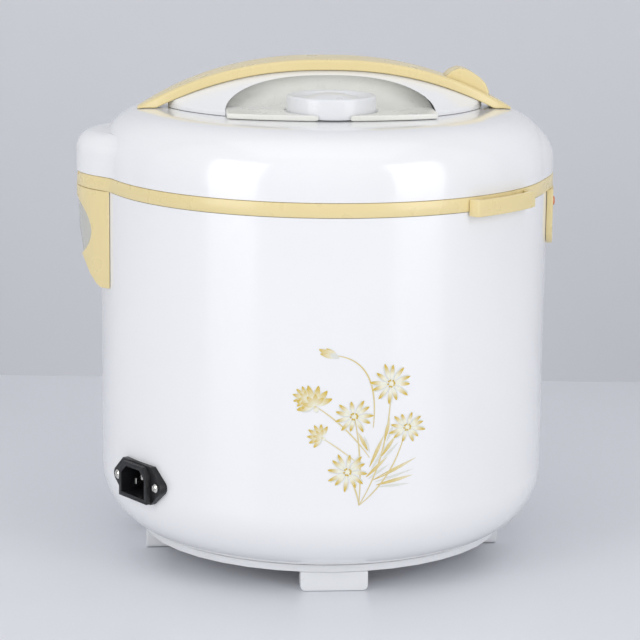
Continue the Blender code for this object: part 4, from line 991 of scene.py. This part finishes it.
class COOKER_OT_spoon_bracket(PieceOperator, bpy.types.Operator):
    """Strap on the trim band that takes the holder of the rice spoon"""

    bl_idname = "cooker.spoon_bracket"
    bl_label = "Spoon bracket"

    def build(self, sizes):
        refit("spoon_bracket", "spoon_strap", "body", "cream_plastic", "cream", 0.0006, 4, 40.0)


class COOKER_OT_cooking_pot(PieceOperator, bpy.types.Operator):
    """Inner pot with its rolled rim and level marks, over the heating plate and the thermostat"""

    bl_idname = "cooker.cooking_pot"
    bl_label = "Cooking pot and heater"

    def build(self, sizes):
        low, rim = POT_LOW.z, POT_HIGH.z
        radius, wall, corner = 0.1160, 0.0018, 0.0280
        inside = arc(corner - wall, -math.pi / 2, 0.0, 16, (radius - corner, low + corner))
        profile = [(0.0, low + wall)] + inside
        for level in range(1, 8):
            z = low + 0.030 + level * 0.016
            profile += [(radius - wall, z - 0.0005), (radius - wall - 0.0003, z), (radius - wall, z + 0.0005)]
        profile += [(radius - wall, rim - 0.0012), (radius - wall + 0.0004, rim - 0.0003),
                    (radius - 0.0006, rim), (radius + 0.0024, rim), (radius + 0.0030, rim - 0.0004), (radius + 0.0030, rim - 0.0011),
                    (radius + 0.0026, rim - 0.0015), (radius, rim - 0.0015)]
        profile += arc(corner, 0.0, -math.pi / 2, 16, (radius - corner, low + corner)) + [(0.0, low)]
        pot = turned("cooking_pot", profile, steps=192, smooth=34.0)
        fit_on(pot, "body", "anodised_aluminium", finish("spun_aluminium"), "inner_pot")
        refit("heating_plate", "heater_casting", "body", "cast_aluminium", "cast_aluminium", 0.0008, 3)
        refit("thermostat_cap", "thermostat_cup", "thermostat", "aluminium_cap", "spun_aluminium", 0.0004, 3)
        refit("thermostat_spring", "thermostat_coil", "body", "spring_steel", "zinc")
        refit("heat_shield", "heat_jacket", "body", "galvanised_steel", "galvanised")
        refit("side_heater", "side_heater_band", "body", "heater_foil", "galvanised")


class COOKER_OT_inner_lid(PieceOperator, bpy.types.Operator):
    """Inside of the lid: its base, the pressed inner plate, the seal and the knob"""

    bl_idname = "cooker.inner_lid"
    bl_label = "Inside of the lid"

    def build(self, sizes):
        refit("lid_base", "lid_floor", "lid", "white_plastic", "satin_white", 0.0004)
        ceiling = LID_BASE_Z + 0.0002
        face, sheet, rib = 0.2385, 0.0010, 0.0006
        ribs = [point for middle in (0.0230, 0.0530, 0.0830)
                for point in ((middle - 0.0030, face), (middle, face + rib), (middle + 0.0030, face))]
        profile = [(0.0043, face)] + ribs + [(0.0900, face), (0.1080, ceiling), (0.1104, ceiling)]
        profile += [(0.1104, ceiling - sheet), (0.1085, ceiling - sheet), (0.0905, face - sheet)]
        profile += [(r, z - sheet) for r, z in reversed(ribs)] + [(0.0043, face - sheet)]
        plate = turned("inner_plate", profile, steps=160, loop=True)
        cut(plate, bar("steam", 0.0050, (VENT_X, AXIS_Y, 0.2), (VENT_X, AXIS_Y, 0.3), 48))
        fit_on(shaded(plate, 34), "lid", "anodised_aluminium", finish("spun_aluminium"), "inner_lid")
        low = POT_HIGH.z + 0.0004
        ring = [(0.1180, ceiling), (0.1180, low + 0.0012), (0.1172, low + 0.0004), (0.1155, low),
                (0.1140, low + 0.0006), (0.1125, low), (0.1112, low), (0.1108, low + 0.0004), (0.1108, ceiling)]
        seal = turned("lid_seal", ring, steps=192, loop=True)
        fit_on(seal, "lid", "silicone_seal", finish("silicone"), "lid_gasket")
        refit("inner_lid_knob", "plate_knob", "lid", "silicone_seal", "silicone", 0.0006, 3)


class COOKER_OT_hinge(PieceOperator, bpy.types.Operator):
    """Hinge pin in the ring and the lid's knuckle on it"""

    bl_idname = "cooker.hinge"
    bl_label = "Hinge"

    def build(self, sizes):
        refit("hinge_pin", "hinge_axle", "body", "zinc_steel", "zinc", 0.0002)
        refit("lid_knuckle", "lid_hinge_arm", "lid", "cream_plastic", "cream", 0.0005, 3)


class COOKER_OT_flower_print(PieceOperator, bpy.types.Operator):
    """A plain spray of daisies printed on the side of the body"""

    bl_idname = "cooker.flower_print"
    bl_label = "Flower print"

    def petal(self, at, angle, length, width, root, tip, layer=1, point=0.35):
        """One leaf-shaped petal on the flat: the print is wrapped round the body at the end."""
        deselect_all()
        bpy.ops.mesh.primitive_circle_add(vertices=18, radius=1.0, fill_type="TRIFAN")
        obj = bpy.context.object
        shade = obj.data.attributes.new("shade", "FLOAT", "POINT")
        for index, vertex in enumerate(obj.data.vertices):
            share = (1 + vertex.co.x) / 2
            across = vertex.co.y * width / 2 * (1 - point * share**3) * (0.45 + 0.55 * min(1.0, share * 2.2))
            along = share * length
            vertex.co = (at[0] + along * math.cos(angle) - across * math.sin(angle),
                         at[1] + along * math.sin(angle) + across * math.cos(angle), layer)
            shade.data[index].value = root + (tip - root) * share
        return obj

    def stroke(self, points, width, shade_value, layer=0):
        """A stem along points, tapering to its ends."""
        rows = []
        for i in range(29):
            share = i / 28
            here, ahead = self.on_curve(points, share), self.on_curve(points, min(1.0, share + 0.01))
            back = self.on_curve(points, max(0.0, share - 0.01))
            run = (ahead - back).normalized()
            half = width / 2 * (0.35 + 0.65 * math.sin(math.pi * (0.08 + 0.84 * share)))
            rows.append([(here.x - run.y * half, here.y + run.x * half, layer),
                         (here.x + run.y * half, here.y - run.x * half, layer)])
        obj = draped("stroke", rows, tube=False, caps=False)
        shade = obj.data.attributes.new("shade", "FLOAT", "POINT")
        for value in shade.data:
            value.value = shade_value
        return obj

    def on_curve(self, points, share):
        start, bend, end = (Vector(p).to_2d() for p in points)
        return start * (1 - share) ** 2 + bend * 2 * share * (1 - share) + end * share**2

    def daisy(self, at, length, count, turn=0.0, squash=1.0):
        """A many-petalled flower, seen straight on or from the side where squash is under 1."""
        parts = []
        for i in range(count):
            angle = turn + math.tau * i / count + 0.07 * math.sin(i * 2.1)
            reach = length * (1.0 + 0.09 * math.sin(i * 3.7))
            tilt = math.atan2(math.sin(angle) * squash, math.cos(angle))
            reach *= math.hypot(math.cos(angle), math.sin(angle) * squash)
            root = (at[0] + 0.0016 * math.cos(tilt), at[1] + 0.0016 * math.sin(tilt) * squash)
            parts.append(self.petal(root, tilt + 0.12, reach * 0.80, length * 0.20, 0.10, 0.32, 1))
            parts.append(self.petal(root, tilt, reach * 0.86, length * 0.20, 0.30, 1.15, 2 + i % 2, 0.25))
        for i in range(9):
            spot = (at[0] + 0.0013 * math.cos(i * 2.4), at[1] + 0.0013 * math.sin(i * 2.4) * squash)
            parts.append(self.petal(spot, i * 2.4, 0.0013, 0.0012, 1.0, 1.0, 5, 0.0))
        parts.append(self.petal((at[0] - 0.0019, at[1]), 0.0, 0.0038, 0.0036 * squash, 0.30, 0.50, 4, 0.0))
        return parts

    def blossom(self, at, lean, length):
        """A half-open flower in profile: a fan of broad petals over a leafy cup."""
        parts = []
        for i in range(7):
            turn = lean + (i - 3) * 0.50
            reach = length * (1.0 - 0.05 * abs(i - 3))
            parts.append(self.petal(at, turn + 0.15, reach * 0.80, length * 0.34, 0.10, 0.30, 1))
            parts.append(self.petal(at, turn, reach, length * 0.30, 0.40, 1.1, 2 + i % 2, 0.35))
        for i in range(4):
            turn = lean + (i - 1.5) * 0.75
            parts.append(self.petal(at, turn, length * 0.55, length * 0.26, 0.62, 1.0, 4, 0.4))
        parts.append(self.petal(at, lean + math.pi, length * 0.35, length * 0.25, 0.95, 0.20, 3, 0.2))
        return parts

    def build(self, sizes):
        size = sizes.petal_length
        parts = []
        foot = (0.004, 0.001)
        stems = (((0.022, 0.030), (0.0225, 0.072)), ((0.006, 0.030), (0.001, 0.053)),
                 ((0.026, 0.018), (0.032, 0.046)), ((0.003, 0.010), (-0.003, 0.021)))
        for bend, tip in stems:
            parts.append(self.stroke([foot, bend, tip], 0.0009, 0.86))
        heads = ((0.0225, 0.074, 1.12, 12, 0.95), (0.0005, 0.055, 1.05, 11, 0.85),
                 (0.033, 0.047, 1.02, 12, 0.80), (-0.003, 0.0215, 1.08, 12, 0.95))
        for x, y, scale, count, squash in heads:
            parts += self.daisy((x, y), size * scale, count, x * 40, squash)
        parts.append(self.stroke([(0.010, 0.030), (-0.004, 0.050), (-0.022, 0.0610)], 0.0009, 0.85))
        parts += self.blossom((-0.0225, 0.0615), 1.9, size * 1.15)
        parts += self.blossom((-0.0275, 0.0660), 2.9, size * 0.75)
        parts.append(self.stroke([(0.004, 0.026), (-0.008, 0.036), (-0.018, 0.0420)], 0.0008, 0.80))
        parts += self.blossom((-0.0185, 0.0425), 2.6, size * 0.80)
        parts.append(self.stroke([(0.012, 0.048), (0.016, 0.088), (-0.010, 0.0915)], 0.0009, 0.88))
        for turn, length, wide in ((2.75, 0.0125, 0.0042), (2.95, 0.0110, 0.0036), (2.50, 0.0090, 0.0030)):
            parts.append(self.petal((-0.0090, 0.0905), turn, length, wide, 0.50, 1.0, 2, 0.5))
        parts.append(self.petal((-0.0085, 0.0900), 2.70, 0.0060, 0.0034, 0.15, 0.30, 3, 0.4))
        leaves = ((0.012, 0.016, 0.42, 0.030), (0.014, 0.013, 0.20, 0.024), (0.010, 0.024, 1.15, 0.022),
                  (0.017, 0.030, 0.95, 0.016), (0.009, 0.034, 2.05, 0.013), (0.019, 0.040, 1.35, 0.014),
                  (0.008, 0.018, 0.75, 0.018))
        for x, y, turn, length in leaves:
            parts.append(self.petal((x, y), turn, length, 0.0024, 1.0, 0.75, 1, 0.85))
            shadow = (x + 0.0012, y - 0.0012)
            parts.append(self.petal(shadow, turn - 0.16, length * 0.85, 0.0018, 0.12, 0.30, 0, 0.85))
        sheet = joined("flower_print", parts)
        print_z, middle = 0.0605, math.radians(4.5)
        for vertex in sheet.data.vertices:
            s, h, layer = vertex.co
            reach = sizes.body_radius + 0.00010 + layer * 0.00003
            angle = math.pi + middle + (s - 0.0035) / sizes.body_radius
            vertex.co = around(reach, angle, print_z + h)
        edit_all(sheet)
        bpy.ops.mesh.normals_make_consistent(inside=False)
        in_object_mode()
        fit_on(sheet, "body", "white_enamel", finish("printed_ink"))


class COOKER_OT_stage(bpy.types.Operator):
    """Pale table and wall, soft studio lights and the camera"""

    bl_idname = "cooker.stage"
    bl_label = "Stage"
    bl_options = {"REGISTER", "UNDO"}

    TOWARDS = Vector((-0.9969, 0.0785, 0.0))  # level direction from the cooker to the camera

    def execute(self, context):
        self.table_and_wall()
        self.lights(context)
        self.camera(context)
        return {"FINISHED"}

    def table_and_wall(self):
        table = Finish("table_top", (0.78, 0.79, 0.83), 0.35)
        table.mottle(3.0, 0.02, 1.0).grain(300.0, 0.03, 0.0004)
        deselect_all()
        bpy.ops.mesh.primitive_plane_add(size=8.0, location=(0.0, 0.0, -0.0002))
        floor = bpy.context.object
        floor.name = "table_top"
        floor.data.materials.append(table.done())
        wall_paint = Finish("wall_paint", (0.62, 0.63, 0.66), 0.7)
        wall_paint.mottle(2.0, 0.02, 1.0).done()
        seen = wall_paint.add("ShaderNodeNewGeometry")
        clear = wall_paint.add("ShaderNodeBsdfTransparent")
        mix = wall_paint.add("ShaderNodeMixShader")
        wall_paint.link(seen.outputs["Backfacing"], mix.inputs["Fac"])
        wall_paint.link(wall_paint.shader.outputs["BSDF"], mix.inputs[1])
        wall_paint.link(clear.outputs["BSDF"], mix.inputs[2])
        wall_paint.link(mix.outputs["Shader"], wall_paint.tree.nodes["Material Output"].inputs["Surface"])
        deselect_all()
        bpy.ops.mesh.primitive_plane_add(size=6.0, location=(0.0, 0.0, 0.0))
        wall = bpy.context.object
        wall.name = "wall"
        upright = self.TOWARDS.to_track_quat("Z", "X").to_matrix().to_4x4()
        wall.matrix_world = Matrix.Translation(-self.TOWARDS * 0.447) @ upright
        wall.data.materials.append(wall_paint.material)

    def lights(self, context):
        world = bpy.data.worlds.new("studio")
        world.use_nodes = True
        sky = world.node_tree.nodes["Background"].inputs
        sky["Color"].default_value = (0.96, 0.97, 1.0, 1.0)
        sky["Strength"].default_value = 0.60
        context.scene.world = world
        context.scene.view_settings.view_transform = "Standard"
        right = UP.cross(self.TOWARDS)
        for name, across, near, up, width, height, power in (
            ("left_softbox", -1.15, 1.15, 0.62, 0.8, 1.3, 9.0),
            ("right_softbox", 1.20, 1.10, 0.62, 0.8, 1.3, 8.5),
            ("top_softbox", 0.0, 0.25, 1.70, 1.6, 1.6, 4.0),
        ):
            light = bpy.data.lights.new(name, "AREA")
            light.shape = "RECTANGLE"
            light.size, light.size_y = width, height
            light.energy = power
            lamp = bpy.data.objects.new(name, light)
            lamp.location = self.TOWARDS * near + right * across + Vector((0.0, AXIS_Y, up))
            aim = Vector((0.0, AXIS_Y, 0.15)) - lamp.location
            lamp.rotation_euler = aim.to_track_quat("-Z", "Y").to_euler()
            context.scene.collection.objects.link(lamp)

    def camera(self, context):
        data = bpy.data.cameras.new("camera")
        data.sensor_width = 36.0
        data.lens = 136.6
        data.clip_start, data.clip_end = 0.05, 20.0
        camera = bpy.data.objects.new("camera", data)
        pitch, roll = math.radians(11.92), math.radians(0.63)
        forward = (-self.TOWARDS * math.cos(pitch) - UP * math.sin(pitch)).normalized()
        level = forward.cross(UP).normalized()
        up = level.cross(forward)
        right = level * math.cos(roll) + up * math.sin(roll)
        up = right.cross(forward)
        turn = Matrix((right, up, -forward)).transposed().to_4x4()
        camera.matrix_world = Matrix.Translation((-1.5092, AXIS_Y + 0.1204, 0.4632)) @ turn
        context.scene.collection.objects.link(camera)
        context.scene.camera = camera


PIECES = (
    COOKER_OT_body_shell, COOKER_OT_underside, COOKER_OT_trim_ring, COOKER_OT_lid_cover, COOKER_OT_handle,
    COOKER_OT_finger_bays, COOKER_OT_steam_vent, COOKER_OT_lid_button, COOKER_OT_dew_cup, COOKER_OT_controls,
    COOKER_OT_mains_inlet, COOKER_OT_spoon_bracket, COOKER_OT_cooking_pot, COOKER_OT_inner_lid, COOKER_OT_hinge,
    COOKER_OT_flower_print, COOKER_OT_stage,
)


class COOKER_PT_panel(bpy.types.Panel):
    """Sizes, colours and pieces of the rice cooker"""

    bl_label = "Rice cooker"
    bl_idname = "COOKER_PT_panel"
    bl_space_type = "VIEW_3D"
    bl_region_type = "UI"
    bl_category = "Cooker"

    def draw(self, context):
        for group in (context.scene.cooker_sizes, context.scene.cooker_colours):
            box = self.layout.box()
            for name in group.__annotations__:
                box.prop(group, name)
        column = self.layout.column(align=True)
        for piece in PIECES:
            column.operator(piece.bl_idname)


CLASSES = (CookerSizes, CookerColours, *PIECES, COOKER_PT_panel)


def register():
    for cls in CLASSES:
        bpy.utils.register_class(cls)
    bpy.types.Scene.cooker_sizes = bpy.props.PointerProperty(type=CookerSizes)
    bpy.types.Scene.cooker_colours = bpy.props.PointerProperty(type=CookerColours)


def unregister():
    del bpy.types.Scene.cooker_colours
    del bpy.types.Scene.cooker_sizes
    for cls in reversed(CLASSES):
        bpy.utils.unregister_class(cls)


def main():
    register()
    for piece in PIECES:
        group, name = piece.bl_idname.split(".")
        getattr(getattr(bpy.ops, group), name)()
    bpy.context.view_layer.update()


if __name__ == "__main__":
    main()
